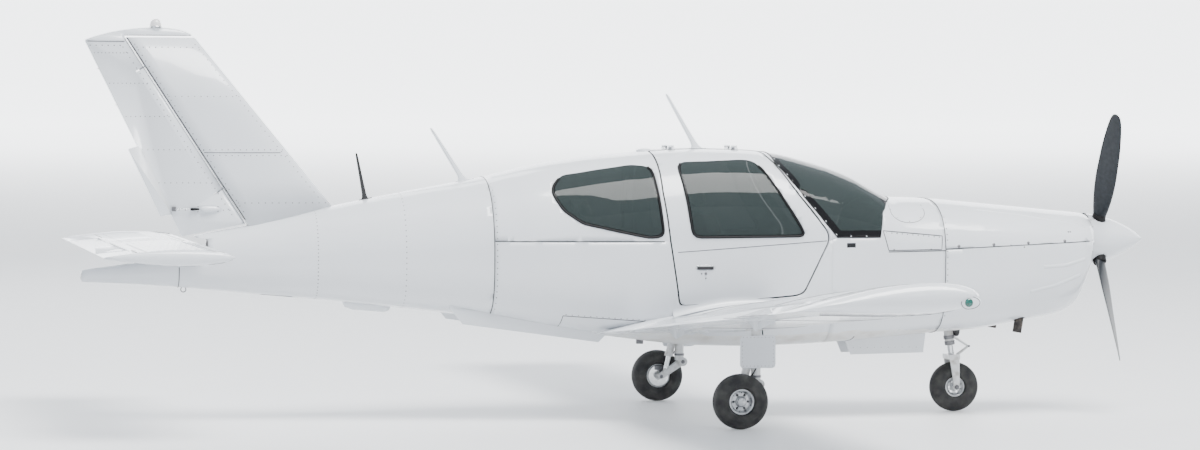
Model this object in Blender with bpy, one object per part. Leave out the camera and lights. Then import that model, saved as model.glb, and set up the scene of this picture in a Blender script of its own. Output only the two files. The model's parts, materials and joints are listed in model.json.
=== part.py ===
# Light aircraft: a four-seat, low-wing, single-engined tourer that stands on its retractable gear.
# Units are metres. +X is the nose, +Y is the port side and +Z is up.
# The origin is on the ground, at mid length, on the aircraft's centre plane.

import math

import bmesh
import bpy
from mathutils import Matrix, Vector

# Whole aircraft
NOSE_X = 3.855
TAIL_X = -3.855
HUB_Z = 1.245
SEAT_GAP = 0.0003
HULL_GAP = 0.0007
MOVING_GAP = 0.005
DOOR_GAP = 0.0085
LUGGAGE_GAP = 0.0065

# Fuselage hull
FIREWALL_X = 2.190
CABIN_FRONT_X = 1.345
CABIN_REAR_X = -1.045
COWL_FRONT_X = 3.385
HULL_REAR_X = -3.855
WALL = 0.035
SKIN = 0.012
GLASS = 0.006
HULL_POINTS = 24
FRAME_PITCH = 0.280
FLOOR_TOP_Z = 0.800
FLOOR_THICKNESS = 0.020
HINGE_STRIP = 0.105
DOOR_SKIN = 0.005
DOOR_LIP = 0.030
DOOR_HINGE_Z = 1.911
DOOR_HINGE_X = (0.300, 0.760)
LUGGAGE_LIP = 0.012
LUGGAGE_HINGE_X = (-0.860, -0.450)
LUGGAGE_HINGE_Z = 1.2182
LUGGAGE_HINGE_OUT = 0.006
NOSE_BAY_X = 1.560
NOSE_BAY_Y = 0.125
LEG_SLOT_X = 2.520
INLET_BOX = (0.205, 0.372, 1.090, 1.235)
EXHAUST_XY = (2.842, 0.300)
EXHAUST_LEAN = 0.160
EXHAUST_RADIUS = 0.030
EXHAUST_GAP = 0.010
EXHAUST_Z = (1.050, 0.600)
SCOOP_OUTLINE = ((-0.150, 0.815), (0.150, 0.815), (0.165, 0.930), (-0.165, 0.930))
SHAFT_RADIUS = 0.055
SHAFT_HOLE_RADIUS = 0.085

# Engine blocks, each a low and a high corner
ENGINE_BLOCK = ((2.360, -0.385, 1.000), (3.110, 0.385, 1.320))
ENGINE_SUMP = ((2.520, -0.260, 0.780), (3.060, 0.260, 1.020))
ENGINE_MOUNT = ((FIREWALL_X + SEAT_GAP, -0.160, 1.040), (2.400, 0.160, 1.240))
SIDES = (("left", 1), ("right", -1))

# Wing
WING_LE_X = 1.129
WING_CHORD = 1.220
WING_TE_Z = 0.594
WING_RISE = 0.085
DIHEDRAL = 0.0822
WING_THICKNESS = 0.155
WING_CAMBER = 0.020
ROOT_Y = 0.680
FLAP_Y = (0.690, 3.515)
AILERON_Y = (3.530, 4.590)
TIP_Y = 4.600
SURFACE_CHORD = 0.262
COVE_GAP = 0.007
FLAP_HINGE_Y = (1.000, 3.250)
FLAP_DROP = 0.090
AILERON_HINGE_Y = (3.800, 4.350)

# Tail
FIN_LE = ((-2.030, 1.400), (-3.051, 2.643))
FIN_GAP = ((-2.726, 1.400), (-3.533, 2.643))
RUDDER_TE = ((-3.216, 1.400), (-3.832, 2.643))
FIN_ROOT_Z = 1.300
FIN_TIP_Z = 2.668
STAB_LE_X = -3.005
STAB_THICKNESS = 0.092
STAB_PIVOT = (-3.250, 1.212)
TAB_HINGE_X = -3.662
TAB_HALF_SPAN = 1.148
RUDDER_NOSE_GAP = 0.008
RUDDER_LOW_Z = 1.400
RUDDER_BASE = ((-2.708, 1.379), (-3.161, 1.288))
RUDDER_HINGE_Z = (1.600, 2.450)
RUDDER_TAB = ((-3.425, 1.885), (-3.468, 1.914), (-3.533, 1.894), (-3.310, 1.428), (-3.228, 1.440))
FIN_THICKNESS = 0.105
CAP_LOW_Z = 2.681
CAP_STEP_X = -3.560
CAP_JOIN_Z = (2.640, 2.690)
BEACON_X = -3.343
BEACON_Z = 2.7395
BEACON_RADIUS = 0.041
BEACON_DOME = (
    (0.0, 0.0), (0.0, BEACON_RADIUS), (0.012, BEACON_RADIUS), (0.046, 0.033), (0.056, 0.024), (0.058, 0.0),
)
STRAKE = ((-1.331, 0.860), (-0.169, 0.720), (-0.169, 0.647), (-0.274, 0.545), (-1.241, 0.680), (-1.331, 0.792))

# Landing gear
MAIN_AXLE = (0.520, 1.295, 0.190)
NOSE_AXLE = (2.430, 0.0, 0.178)
STEERING_RAKE = math.radians(8.0)
STEERING_POINT = (2.385, 0.0, 0.600)
MAIN_TYRE = (0.190, 0.155)
NOSE_TYRE = (0.178, 0.125)
RIM_RADIUS = (0.088, 0.072)
WHEEL_SEGMENTS = 20
LEG_X = 0.660
LEG_Y = 1.165
LEG_DOOR = ((0.540, 0.410), (0.790, 0.410), (0.790, 0.640), (0.540, 0.630))
WELL_Y = 0.800
WELL_TOP_Z = 0.730

# Propeller
BLADE_RADIUS = 1.015
BLADE_COUNT = 3
BLADE_TURN = math.radians(27.0)
SPINNER_RADIUS = 0.183
SPINNER_REAR_X = 3.400
BLADE_X = 3.500

# Hull stations: x, top z, bottom z, half width, z of the widest line, upper and lower roundness
HULL_STATIONS = (
    (-3.855, 1.058, 0.976, 0.035, 1.015, 2.0, 2.0),
    (-3.450, 1.120, 0.955, 0.082, 1.045, 2.2, 2.2),
    (-3.160, 1.270, 0.932, 0.120, 1.080, 2.1, 2.3),
    (-2.620, 1.382, 0.880, 0.200, 1.110, 2.1, 2.5),
    (-2.100, 1.500, 0.832, 0.290, 1.130, 2.1, 2.7),
    (-1.640, 1.590, 0.782, 0.385, 1.145, 2.1, 3.0),
    (-1.045, 1.700, 0.712, 0.520, 1.165, 2.2, 3.3),
    (-0.660, 1.788, 0.654, 0.595, 1.190, 2.3, 3.6),
    (-0.190, 1.855, 0.580, 0.650, 1.220, 2.4, 3.9),
    (0.480, 1.902, 0.508, 0.680, 1.250, 2.5, 4.0),
    (0.820, 1.894, 0.500, 0.680, 1.250, 2.5, 4.0),
    (1.040, 1.870, 0.504, 0.675, 1.245, 2.5, 4.0),
    (1.290, 1.811, 0.514, 0.662, 1.230, 2.5, 4.0),
    (1.560, 1.722, 0.531, 0.642, 1.210, 2.5, 3.9),
    (1.800, 1.594, 0.550, 0.622, 1.180, 2.6, 3.8),
    (1.900, 1.556, 0.558, 0.612, 1.165, 2.6, 3.8),
    (2.190, 1.544, 0.580, 0.588, 1.140, 2.6, 3.6),
    (2.540, 1.514, 0.606, 0.560, 1.140, 2.6, 3.4),
    (2.880, 1.482, 0.662, 0.520, 1.150, 2.5, 3.2),
    (3.120, 1.459, 0.702, 0.480, 1.165, 2.4, 3.0),
    (3.250, 1.447, 0.756, 0.445, 1.185, 2.3, 2.7),
    (3.340, 1.438, 0.930, 0.395, 1.215, 2.2, 2.4),
    (3.385, 1.430, 1.050, 0.330, 1.240, 2.0, 2.0),
)

# Top of the rudder's cap in side view: x, z
CAP_TOP = (
    (-3.832, 2.650), (-3.760, 2.676), (-3.660, 2.703), (-3.560, 2.722), (-3.464, 2.733), (-3.337, 2.739),
    (-3.250, 2.733), (-3.175, 2.722), (-3.125, 2.706), (-3.092, 2.688),
)

# Bullet on each end of the tailplane: x, half height
BULLET = (
    (-2.998, 0.004), (-3.035, 0.022), (-3.110, 0.038), (-3.210, 0.049), (-3.320, 0.053),
    (-3.450, 0.050), (-3.600, 0.038), (-3.750, 0.021), (-3.846, 0.005),
)
BULLET_Y = 1.778
BULLET_WIDTH = 0.80

# Side view outlines, each a list of x, z
DOOR_OUTLINE = (
    (0.246, 0.815), (1.080, 0.885), (1.133, 0.905), (1.312, 1.262), (1.305, 1.323),
    (1.098, 1.590), (0.935, 1.860), (0.935, 2.050), (0.135, 2.050), (0.135, 1.600), (0.172, 1.285),
)
DOOR_WINDOW = ((0.330, 1.288), (1.150, 1.294), (0.845, 1.800), (0.770, 1.822), (0.262, 1.802))
WINDSHIELD_OUTLINE = (
    (1.378, 1.285), (1.700, 1.285), (1.735, 1.452), (1.800, 1.530), (1.900, 1.575),
    (1.900, 2.050), (0.990, 2.050), (0.985, 1.800), (1.135, 1.580),
)
REAR_WINDOW = (
    (0.128, 1.300), (0.078, 1.776), (-0.055, 1.788), (-0.560, 1.712), (-0.640, 1.610),
    (-0.575, 1.480), (-0.440, 1.384), (0.030, 1.285),
)
DOOR_CORNER = 0.035
DOOR_WINDOW_CORNER = 0.060
REAR_WINDOW_CORNER = 0.045
LUGGAGE_CORNER = 0.040
WAIST_LINE = ((-1.100, 1.262), (1.330, 1.262), (1.378, 1.285), (1.700, 1.285))
TAIL_STEP = (
    (-2.985, 1.110), (-2.985, 1.266), (-3.072, 1.278), (-3.072, 1.600), (-4.000, 1.600), (-4.000, 1.100),
    (-3.400, 1.104),
)
LUGGAGE_OUTLINE = ((-0.960, 0.850), (-0.350, 0.850), (-0.350, 1.215), (-0.960, 1.215))

# Blade stations: radius, chord, thickness, pitch in degrees
BLADE_STATIONS = (
    (0.040, 0.070, 0.070, 52.0),
    (0.150, 0.080, 0.072, 50.0),
    (0.240, 0.118, 0.050, 46.0),
    (0.380, 0.162, 0.032, 40.0),
    (0.540, 0.184, 0.023, 34.0),
    (0.700, 0.182, 0.018, 30.0),
    (0.850, 0.158, 0.014, 27.0),
    (0.960, 0.116, 0.010, 25.0),
    (BLADE_RADIUS, 0.050, 0.006, 24.0),
)
CUFF_RADIUS = 0.052

# Seat parts in side view, each a list of x, z
FRONT_CUSHION = ((0.600, 0.940), (1.120, 0.960), (1.130, 1.060), (0.600, 1.040))
FRONT_BACK = ((0.560, 0.950), (0.680, 0.960), (0.505, 1.480), (0.400, 1.465))
FRONT_HEADREST = ((0.415, 1.440), (0.500, 1.440), (0.470, 1.640), (0.385, 1.630))
REAR_CUSHION = ((-0.220, 0.900), (0.240, 0.930), (0.250, 1.030), (-0.220, 1.000))
REAR_BACK = ((-0.240, 0.900), (-0.120, 0.920), (-0.300, 1.410), (-0.400, 1.395))
REAR_HEADREST = ((-0.395, 1.360), (-0.305, 1.360), (-0.340, 1.540), (-0.420, 1.530))

# Instrument panel, its shade in side view, the console below it and the yokes
PANEL_BLOCK = ((1.440, -0.540, 1.020), (1.480, 0.540, 1.330))
PANEL_SHADE = ((1.400, 1.325), (1.690, 1.270), (1.690, 1.250), (1.400, 1.300))
CONSOLE_BLOCK = ((1.360, -0.085, FLOOR_TOP_Z + SEAT_GAP), (1.460, 0.085, 1.040))
YOKE_Y = 0.310
YOKE_Z = 1.130

# Colours
WHITE = (0.86, 0.87, 0.89)
DARK_GLASS = (0.10, 0.13, 0.13)
CREAM = (0.80, 0.74, 0.64)
SLATE = (0.07, 0.08, 0.09)
RUBBER = (0.03, 0.03, 0.03)
STEEL = (0.45, 0.45, 0.46)
DARK_TRIM = (0.06, 0.06, 0.065)
ALLOY = (0.75, 0.76, 0.77)
MILKY = (0.85, 0.86, 0.86)

# Finishes: colour, roughness, metal
PAINT = (WHITE, 0.25, 0.0)
GLAZING = (DARK_GLASS, 0.05, 0.0)
LEATHER = (CREAM, 0.50, 0.0)
CLEAR_LENS = (MILKY, 0.15, 0.0)

# Antennas: name, foot x and z, tip x and z, half width of the foot, finish
ANTENNAS = (
    ("antenna_dark", (-1.873, 1.530), (-1.939, 1.869), 0.035, ((0.05, 0.05, 0.05), 0.4, 0.0)),
    ("antenna_rear", (-1.166, 1.660), (-1.410, 2.044), 0.050, PAINT),
    ("antenna_roof", (0.519, 1.890), (0.288, 2.289), 0.050, PAINT),
)


def clear_scene():
    for item in list(bpy.data.objects):
        bpy.data.objects.remove(item, do_unlink=True)


def paint(name, color, roughness, metallic=0.0):
    material = bpy.data.materials.new(name)
    material.use_nodes = True
    shader = material.node_tree.nodes["Principled BSDF"]
    shader.inputs["Base Color"].default_value = (*color, 1.0)
    shader.inputs["Roughness"].default_value = roughness
    shader.inputs["Metallic"].default_value = metallic
    return material


def make(name, bm, finish, smooth_degrees=32.0):
    """One object from a bmesh, shaded smooth below the given angle; finish is colour, roughness, metal."""
    bmesh.ops.recalc_face_normals(bm, faces=bm.faces)
    mesh = bpy.data.meshes.new(name)
    bm.to_mesh(mesh)
    bm.free()
    mesh.materials.append(paint(name, *finish))
    mesh.shade_smooth()
    mesh.set_sharp_from_angle(angle=math.radians(smooth_degrees))
    item = bpy.data.objects.new(name, mesh)
    bpy.context.scene.collection.objects.link(item)
    return item


def tool(name, bm):
    """A cutter or a joined-on form: it shapes other objects and is not a piece itself."""
    item = make(name, bm, (WHITE, 0.5, 0.0))
    item.hide_render = True
    item.display_type = "WIRE"
    return item


def combine(item, other, operation):
    modifier = item.modifiers.new(operation.lower() + "_" + other.name, "BOOLEAN")
    modifier.operation = operation
    modifier.solver = "EXACT"
    modifier.object = other
    return item


def move_origin(item, point):
    """Puts an object's origin on its joint's axis and leaves its shape where it is."""
    item.data.transform(Matrix.Translation(-Vector(point)))
    item.location = Vector(point)


# Shapes

def add_loft(bm, rings):
    """A closed solid through rings of equal point counts, with a flat cap at each end."""
    rows = [[bm.verts.new(point) for point in ring] for ring in rings]
    count = len(rows[0])
    for first, second in zip(rows, rows[1:]):
        for i in range(count):
            j = (i + 1) % count
            bm.faces.new((first[i], first[j], second[j], second[i]))
    bm.faces.new(rows[0])
    bm.faces.new(rows[-1])
    return bm


def loft(rings):
    return add_loft(bmesh.new(), rings)


def prism(outline, plane, low, high):
    """An outline of two coordinates pushed through along the axis that the plane leaves free."""
    def place(a, b, depth):
        if plane == "XZ":
            return (a, depth, b)
        if plane == "YZ":
            return (depth, a, b)
        return (a, b, depth)
    return loft([[place(a, b, depth) for a, b in outline] for depth in (low, high)])


def block(low, high):
    outline = ((low[0], low[1]), (high[0], low[1]), (high[0], high[1]), (low[0], high[1]))
    return prism(outline, "XY", low[2], high[2])


def grow(outline, distance):
    """The outline moved outwards by a distance, with sharp corners kept."""
    count = len(outline)
    area = sum(outline[i][0] * outline[(i + 1) % count][1] - outline[(i + 1) % count][0] * outline[i][1]
               for i in range(count))
    side = distance if area > 0 else -distance
    result = []
    for i in range(count):
        before, here, after = (Vector(outline[(i + k) % count]) for k in (-1, 0, 1))
        d1 = (here - before).normalized()
        d2 = (after - here).normalized()
        n1 = Vector((d1.y, -d1.x))
        n2 = Vector((d2.y, -d2.x))
        miter = (n1 + n2) / (1.0 + n1.dot(n2))
        result.append(tuple(here + miter * side))
    return result


def round_corners(outline, radius, steps=3):
    """The outline with each corner replaced by a short curve that starts a radius before it."""
    count = len(outline)
    result = []
    for i in range(count):
        before, here, after = (Vector(outline[(i + k) % count]) for k in (-1, 0, 1))
        back = min(radius, (before - here).length * 0.45)
        ahead = min(radius, (after - here).length * 0.45)
        start = here + (before - here).normalized() * back
        end = here + (after - here).normalized() * ahead
        for k in range(steps + 1):
            t = k / steps
            result.append(tuple(start * (1 - t) ** 2 + here * 2 * t * (1 - t) + end * t ** 2))
    return result


def rod(start, end, radius, segments=16, end_radius=None):
    """A round bar between two points, or a cone if it has a second radius."""
    start = Vector(start)
    axis = Vector(end) - start
    turn = axis.to_track_quat("Z", "Y").to_matrix().to_4x4()
    bm = bmesh.new()
    bmesh.ops.create_cone(bm, cap_ends=True, segments=segments, radius1=radius,
                          radius2=radius if end_radius is None else end_radius, depth=axis.length)
    bmesh.ops.transform(bm, matrix=Matrix.Translation(start + axis / 2) @ turn, verts=bm.verts)
    return bm


def turned(profile, centre, axis, segments=28, flat_down=False):
    """A closed profile of axial place and radius, turned about an axis through the centre.

    With flat_down, a flat of the turned form faces down at the stated radius, and not a corner.
    """
    half_step = math.pi / segments if flat_down else 0.0
    reach = 1.0 / math.cos(half_step)
    across, up = reach * math.cos(half_step), reach * math.sin(half_step)
    bm = bmesh.new()
    points = [bm.verts.new((radius * across, radius * up, place)) for place, radius in profile]
    edges = [bm.edges.new((a, b)) for a, b in zip(points, points[1:] + points[:1]) if a.co.x > 0 or b.co.x > 0]
    bmesh.ops.spin(bm, geom=points + edges, cent=(0, 0, 0), axis=(0, 0, 1), angle=math.tau,
                   steps=segments, use_merge=True)
    bmesh.ops.remove_doubles(bm, verts=bm.verts, dist=0.00005)
    turn = Vector(axis).to_track_quat("Z", "Y").to_matrix().to_4x4()
    bmesh.ops.transform(bm, matrix=Matrix.Translation(Vector(centre)) @ turn, verts=bm.verts)
    return bm


# Hull

def smooth_value(x, column):
    """A station column at x, by a cubic through the table with slopes that never overshoot."""
    table = HULL_STATIONS
    last = len(table) - 2
    k = max(0, min(last, sum(1 for row in table if row[0] <= x) - 1))

    def slope(i):
        return (table[i + 1][column] - table[i][column]) / (table[i + 1][0] - table[i][0])

    def tangent(i):
        if i == 0:
            return slope(0)
        if i == len(table) - 1:
            return slope(last)
        a = slope(i - 1)
        b = slope(i)
        return 0.0 if a * b <= 0 else 2 * a * b / (a + b)

    x0, x1 = table[k][0], table[k + 1][0]
    t = (x - x0) / (x1 - x0)
    span = x1 - x0
    return (table[k][column] * (1 + 2 * t) * (1 - t) ** 2 + span * tangent(k) * t * (1 - t) ** 2
            + table[k + 1][column] * t * t * (3 - 2 * t) + span * tangent(k + 1) * t * t * (t - 1))


def true_ring(x, inset):
    """The hull's cross-section at x, a rounded form with its own roundness above and below."""
    top, bottom, half, waist, round_up, round_low = (smooth_value(x, column) for column in range(1, 7))
    ring = []
    for i in range(HULL_POINTS):
        angle = math.tau * (i + 0.5) / HULL_POINTS
        across, up = math.cos(angle), math.sin(angle)
        power = 2.0 / (round_up if up > 0 else round_low)
        height = (top if up > 0 else bottom) - waist
        height = math.copysign(abs(height) - inset, height)
        y = (half - inset) * math.copysign(abs(across) ** power, across)
        ring.append((x, y, waist + height * abs(up) ** power))
    return ring


def hull_frames():
    """Places of the hull's cross-sections: the table's stations, with more where they are far apart."""
    marks = sorted([row[0] for row in HULL_STATIONS] + [CABIN_FRONT_X])
    places = []
    for a, b in zip(marks, marks[1:]):
        parts = max(1, math.ceil((b - a) / FRAME_PITCH))
        places += [a + (b - a) * k / parts for k in range(parts)]
    return places + [marks[-1]]


def hull_ring(x, inset=0.0):
    """The cross-section at x of the hull's faceted skin, so that every piece of it meets the next."""
    frames = hull_frames()
    k = max(0, min(len(frames) - 2, sum(1 for place in frames if place <= x) - 1))
    t = (x - frames[k]) / (frames[k + 1] - frames[k])
    rear, front = true_ring(frames[k], inset), true_ring(frames[k + 1], inset)
    return [tuple(Vector(a).lerp(Vector(b), t)) for a, b in zip(rear, front)]


def hull_steps(start, end, exact=False):
    """Frames from the one at or behind the start to the one at or ahead of the end, or between exact ends."""
    frames = hull_frames()
    if exact:
        return [start] + [x for x in frames if start + 0.010 < x < end - 0.010] + [end]
    first = max(x for x in frames if x <= start + 0.001 or x == frames[0])
    last = min(x for x in frames if x >= end - 0.001 or x == frames[-1])
    steps = [x for x in frames if first <= x <= last]
    if abs(start - first) < 0.001:
        steps[0] = start
    if abs(end - last) < 0.001:
        steps[-1] = end
    return steps


def hull_skin(bm, places, inset):
    """Rows of vertices round the hull and the triangles between them, always split the same way."""
    rows = [[bm.verts.new(p) for p in hull_ring(x, inset)] for x in places]
    for first, second in zip(rows, rows[1:]):
        for i in range(HULL_POINTS):
            j = (i + 1) % HULL_POINTS
            bm.faces.new((first[i], first[j], second[j]))
            bm.faces.new((first[i], second[j], second[i]))
    return rows[0], rows[-1]


def hull_solid(start, end, inset=0.0, exact=False):
    bm = bmesh.new()
    for ring in hull_skin(bm, hull_steps(start, end, exact), inset):
        bm.faces.new(ring)
    return bm


def hull_shell(start, end, wall, outer_inset=0.0):
    """An open tube of the hull between its skin, or a depth under it, and the wall's inside."""
    bm = bmesh.new()
    places = hull_steps(start, end)
    outer = hull_skin(bm, places, outer_inset)
    inner = hull_skin(bm, places, wall)
    for a, b in zip(outer, inner):
        for i in range(HULL_POINTS):
            j = (i + 1) % HULL_POINTS
            bm.faces.new((a[i], a[j], b[j], b[i]))
    return bm


def hull_half_width(x, z):
    """How far the faceted skin stands from the centre plane at a place in side view."""
    ring = [point for point in hull_ring(x) if point[1] >= 0]
    ring.sort(key=lambda point: point[2])
    for low, high in zip(ring, ring[1:]):
        if low[2] <= z <= high[2]:
            t = (z - low[2]) / (high[2] - low[2])
            return low[1] + (high[1] - low[1]) * t
    return 0.0


def side_cutters():
    """Outlines as solids: the openings, what fills them, and the line where upper and lower hull meet."""
    waist = list(WAIST_LINE)
    below = waist + [(1.700, 0.300), (-1.100, 0.300)]
    above = waist + [(1.700, 2.050), (-1.100, 2.050)]
    door = round_corners(DOOR_OUTLINE, DOOR_CORNER)
    window = round_corners(DOOR_WINDOW, DOOR_WINDOW_CORNER)
    rear = round_corners(REAR_WINDOW, REAR_WINDOW_CORNER)
    luggage = round_corners(LUGGAGE_OUTLINE, LUGGAGE_CORNER)
    cutters = {
        "below_waist": prism(grow(below, -SEAT_GAP / 2), "XZ", -1.0, 1.0),
        "above_waist": prism(grow(above, -SEAT_GAP / 2), "XZ", -1.0, 1.0),
        "above_waist_space": prism(grow(above, SEAT_GAP / 2), "XZ", -1.0, 1.0),
        "windshield_space": prism(grow(WINDSHIELD_OUTLINE, SEAT_GAP), "XZ", -1.0, 1.0),
        "windshield_form": prism(WINDSHIELD_OUTLINE, "XZ", -1.0, 1.0),
        "luggage_space": prism(grow(luggage, LUGGAGE_GAP), "XZ", 0.300, 1.0),
        "luggage_form": prism(luggage, "XZ", 0.300, 1.0),
        "luggage_inner": prism(grow(luggage, -LUGGAGE_LIP), "XZ", 0.300, 1.0),
    }
    for side, low, high in (("left", HINGE_STRIP, 1.0), ("right", -1.0, -HINGE_STRIP)):
        inner = MOVING_GAP if side == "left" else 0.0
        outer = MOVING_GAP if side == "right" else 0.0
        cutters["door_space_" + side] = prism(grow(door, DOOR_GAP), "XZ", low - inner, high + outer)
        cutters["door_form_" + side] = prism(door, "XZ", low, high)
        inner_outline = round_corners(grow(DOOR_OUTLINE, -DOOR_LIP), DOOR_CORNER)
        cutters["door_inner_" + side] = prism(inner_outline, "XZ", low, high)
        near, far = (0.200, 1.0) if side == "left" else (-1.0, -0.200)
        cutters["door_window_space_" + side] = prism(grow(window, SEAT_GAP), "XZ", near, far)
        cutters["door_window_form_" + side] = prism(window, "XZ", near, far)
        cutters["rear_window_space_" + side] = prism(grow(rear, SEAT_GAP), "XZ", near, far)
        cutters["rear_window_form_" + side] = prism(rear, "XZ", near, far)
    return {name: tool("cut_" + name, bm) for name, bm in cutters.items()}


def hatch(name, start, end, form, inner):
    """A door panel: a thin skin over its whole outline, and the rest of its thickness set in from the edge."""
    panel = make(name, hull_shell(start, end, DOOR_SKIN), PAINT)
    combine(panel, form, "INTERSECT")
    core = tool("form_core_" + name, hull_shell(start, end, WALL, DOOR_SKIN / 2))
    combine(core, inner, "INTERSECT")
    combine(panel, core, "UNION")
    return panel


def make_cabin(cuts):
    tub = make("cabin_tub", hull_shell(CABIN_REAR_X + SEAT_GAP, CABIN_FRONT_X - SEAT_GAP / 2, WALL), PAINT)
    combine(tub, cuts["below_waist"], "INTERSECT")
    floor = tool("form_floor", hull_solid(CABIN_REAR_X + 0.001, CABIN_FRONT_X - 0.001, WALL - 0.010, True))
    low, high = FLOOR_TOP_Z - FLOOR_THICKNESS, FLOOR_TOP_Z
    combine(floor, tool("form_floor_slice", block((-2, -1, low), (2, 1, high))), "INTERSECT")
    combine(tub, floor, "UNION")
    for side, _ in SIDES:
        combine(tub, cuts["door_space_" + side], "DIFFERENCE")
    combine(tub, cuts["luggage_space"], "DIFFERENCE")

    roof = make("roof_frame", hull_shell(CABIN_REAR_X + SEAT_GAP, 1.420, WALL), PAINT)
    combine(roof, cuts["above_waist"], "INTERSECT")
    combine(roof, cuts["windshield_space"], "DIFFERENCE")
    for side, _ in SIDES:
        combine(roof, cuts["door_space_" + side], "DIFFERENCE")
        combine(roof, cuts["rear_window_space_" + side], "DIFFERENCE")

    windshield = make("windshield", hull_shell(0.900, 1.920, GLASS), GLAZING)
    combine(windshield, cuts["windshield_form"], "INTERSECT")

    for side, sign in SIDES:
        door = hatch("door_" + side, 0.100, 1.360, cuts["door_form_" + side], cuts["door_inner_" + side])
        combine(door, cuts["door_window_space_" + side], "DIFFERENCE")
        pane = make("door_glass_" + side, hull_shell(0.230, 1.180, GLASS), GLAZING)
        combine(pane, cuts["door_window_form_" + side], "INTERSECT")
        rear = make("rear_window_" + side, hull_shell(-0.680, 0.160, GLASS), GLAZING)
        combine(rear, cuts["rear_window_form_" + side], "INTERSECT")
        for k, x in enumerate(DOOR_HINGE_X):
            ends = ((x - 0.020, x), (x + SEAT_GAP, x + 0.020))
            for owner, (x0, x1), lean in ((roof, ends[0], -1), (door, ends[1], 1)):
                y = sign * HINGE_STRIP
                label = "%s_%d" % (owner.name, k) if owner is door else "%s_%s_%d" % (owner.name, side, k)
                knuckle = rod((x0, y, DOOR_HINGE_Z), (x1, y, DOOR_HINGE_Z), 0.010, 12)
                combine(owner, tool("form_knuckle_" + label, knuckle), "UNION")
                leaf = block((x0, SEAT_GAP, DOOR_HINGE_Z - 0.030), (x1, 0.030, DOOR_HINGE_Z - 0.004))
                shift = y if lean * sign > 0 else y - 0.030 - SEAT_GAP
                bmesh.ops.translate(leaf, vec=(0, shift, 0), verts=leaf.verts)
                combine(owner, tool("form_leaf_" + label, leaf), "UNION")
        move_origin(door, (sum(DOOR_HINGE_X) / 2, sign * HINGE_STRIP, DOOR_HINGE_Z))
        move_origin(pane, (sum(DOOR_HINGE_X) / 2, sign * HINGE_STRIP, DOOR_HINGE_Z))
    make_luggage_door(tub, cuts)


def make_luggage_door(tub, cuts):
    """The door behind the port wing root, hinged along its top edge just outside the skin."""
    door = hatch("luggage_door", -1.000, -0.300, cuts["luggage_form"], cuts["luggage_inner"])
    ends = [Vector((x, hull_half_width(x, LUGGAGE_HINGE_Z) + LUGGAGE_HINGE_OUT, LUGGAGE_HINGE_Z))
            for x in (LUGGAGE_HINGE_X[0], LUGGAGE_HINGE_X[1])]
    along_axis = (ends[1] - ends[0]).normalized()
    inward = Vector((along_axis.y, -along_axis.x, 0))
    barrel = arc((0, 0), 0.005, 165, 375, 8)
    for k, place in enumerate(ends):
        for owner, shift, rise in ((tub, -0.0153, 0.0153), (door, 0.0153, -0.0187)):
            middle = place + along_axis * shift
            outline = barrel + [(0.0113, 0.0013), (0.0113, abs(rise)), (-0.0020, abs(rise))]
            rings = [[end + inward * u + Vector((0, 0, math.copysign(1.0, rise) * z)) for u, z in outline]
                     for end in (middle - along_axis * 0.015, middle + along_axis * 0.015)]
            combine(owner, tool("form_luggage_knuckle_%s_%d" % (owner.name, k), loft(rings)), "UNION")
    move_origin(door, (ends[0] + ends[1]) / 2)


def make_front(cuts):
    """Forward fuselage with its deck, firewall and nose gear bay."""
    front = make("forward_fuselage", hull_solid(CABIN_FRONT_X + SEAT_GAP / 2, FIREWALL_X), PAINT)
    room = tool("cut_footwell", hull_solid(CABIN_FRONT_X - 0.05, FIREWALL_X - WALL, WALL, True))
    combine(front, room, "DIFFERENCE")
    floor = tool("form_front_floor", hull_solid(CABIN_FRONT_X + 0.001, FIREWALL_X - 0.010, WALL - 0.010, True))
    low, high = FLOOR_TOP_Z - FLOOR_THICKNESS, FLOOR_TOP_Z
    combine(floor, tool("form_front_floor_slice", block((1.0, -1, low), (2.5, 1, high))), "INTERSECT")
    combine(front, floor, "UNION")
    bay_x, bay_y, wall = NOSE_BAY_X, NOSE_BAY_Y, 0.020
    walls = tool("form_bay_walls", hull_solid(bay_x - wall, FIREWALL_X - 0.010, 0.004, True))
    combine(walls, tool("form_bay_walls_slice", block((bay_x - wall, -bay_y - wall, 0.4),
                                                      (FIREWALL_X, bay_y + wall, low + 0.010))), "INTERSECT")
    combine(front, walls, "UNION")
    combine(front, tool("cut_nose_bay", block((bay_x, -bay_y, 0.4), (2.6, bay_y, low - 0.010))), "DIFFERENCE")
    combine(front, cuts["above_waist_space"], "DIFFERENCE")
    combine(front, cuts["windshield_space"], "DIFFERENCE")


def cowl_seam_z(x):
    return 1.196 + 0.0409 * (x - FIREWALL_X)


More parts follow.
